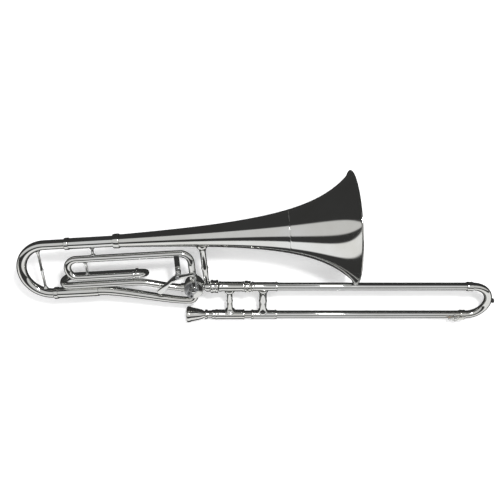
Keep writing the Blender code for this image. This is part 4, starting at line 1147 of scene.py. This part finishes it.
def build_water_key():
    """A lever on a post beside the slide bow, with a cork pad on a nipple."""
    x = SLIDE_BOW_X - 0.0420
    base = Vector((x, -SLIDE_GAP, 0))
    out = Z
    tube = OUTER_TUBE[0]
    frame = SLIDE @ facing(base, out)
    nipple = turned(
        "water_key_nipple", [(tube * 0.6, 0.0042), (tube + 0.0024, 0.0042), (tube + 0.0030, 0.0036)],
        frame, HAND, "silver", 14,
    )
    saddle = rod_cutter("nipple_saddle", base - X * 0.02, base + X * 0.02, tube + CLEAR, SLIDE)
    combine(nipple, saddle, "DIFFERENCE")
    hole = rod_cutter("nipple_hole", base, base + out * 0.03, 0.0020, SLIDE, 10)
    combine(nipple, hole, "DIFFERENCE")
    pad = [(tube + 0.0034, 0.0038), (tube + 0.0058, 0.0038)]
    turned("water_key_pad", pad, frame, KEY, "cork", 12)

    pivot = WATER_PIVOT
    post = turned(
        "water_key_post",
        [(tube * 0.6, 0.0062), (tube + 0.0010, 0.0062), (tube + 0.0024, 0.0032), (tube + 0.0095, 0.0032)],
        SLIDE @ facing(Vector((pivot.x, -SLIDE_GAP, 0)), out), HAND, "silver", 12,
    )
    under = Vector((pivot.x, -SLIDE_GAP, 0))
    saddle = rod_cutter("post_saddle", under - X * 0.02, under + X * 0.02, tube + CLEAR, SLIDE)
    combine(post, saddle, "DIFFERENCE")
    across = rod_cutter("post_hole", pivot - Y * 0.01, pivot + Y * 0.01, 0.0014, SLIDE, 10)
    combine(post, across, "DIFFERENCE")
    turned(
        "water_key_screw",
        [(-0.0072, 0.0024), (-0.0062, 0.0024), (-0.0062, 0.0009), (0.0060, 0.0009)],
        SLIDE @ facing(pivot, Y), HAND, "steel", 10,
    )

    height = tube + 0.0061
    cap = Vector((x, -SLIDE_GAP, height))
    lever = turned(
        "water_key_lever", [(0, 0.0046), (0.0016, 0.0046), (0.0024, 0.0030)],
        SLIDE @ facing(cap, out), KEY, "silver", 14,
    )
    bar_shapes = (
        ("key_arm", (x + pivot.x - 0.0045) / 2, (pivot.x - 0.0045) - x, 0.0024, height + 0.0009, 0.0),
        ("key_cheek_left", pivot.x - 0.0010, 0.0110, 0.0016, height + 0.0009, 0.0046),
        ("key_cheek_right", pivot.x - 0.0010, 0.0110, 0.0016, height + 0.0009, -0.0046),
        ("key_bridge_front", pivot.x - 0.0058, 0.0034, 0.0108, height + 0.0009, 0.0),
        ("key_bridge_back", pivot.x + 0.0058, 0.0034, 0.0108, height + 0.0009, 0.0),
        ("key_thumb", pivot.x + 0.0140, 0.0170, 0.0070, height + 0.0009, 0.0),
    )
    for name, centre_x, length, width, level, shift in bar_shapes:
        thick = 0.0030 if "cheek" in name else 0.0018
        spot = SLIDE @ Matrix.Translation((centre_x, -SLIDE_GAP + shift, level))
        bar = block(name, (length, width, thick), spot, None, "silver")
        combine(lever, bar, "UNION")
    bore = rod_cutter("key_bore", pivot - Y * 0.01, pivot + Y * 0.01, 0.0013, SLIDE, 10)
    combine(lever, bore, "DIFFERENCE")


BELL = bell_frame()
SLIDE = slide_frame()
LINK_TAIL = (LEVER_TAIL * math.cos(LEVER_SWING / 2), LEVER_TAIL * math.sin(LEVER_SWING / 2))
WATER_PIVOT = Vector((SLIDE_BOW_X - 0.0290, -SLIDE_GAP, OUTER_TUBE[0] + 0.0070))
BODY = "root"
TUNING = "tuning_slide"
F_SLIDE = "f_slide"
ROTOR = "rotor"
LEVER = "lever"
LINK = "link"
NUT = "lock_nut"
MOUTHPIECE = "mouthpiece"
HAND = "hand_slide"
LOCK = "slide_lock"
KEY = "water_key"
HELPERS = []
PIECES = []
OFFSET = offset_of_frame()

set_camera()
set_light()
build_bell()
build_tuning_slide()
build_neckpipe()
build_valve()
build_valve_stops()
build_f_loop()
build_struts()
build_receiver()
build_lever()
build_slide_static()
build_mouthpiece()
build_hand_slide()
build_slide_lock()
build_water_key()
knurl("bell_lock_nut", SLIDE @ facing(Vector(), X), -0.0890, -0.0830, 0.0152, 24)
VALVE_FRAME = BELL @ Matrix.Translation(VALVE)
knurl("valve_cap", VALVE_FRAME, -CASING_HALF - 0.0035, -CASING_HALF, 0.0232, 36)
settle_pieces()
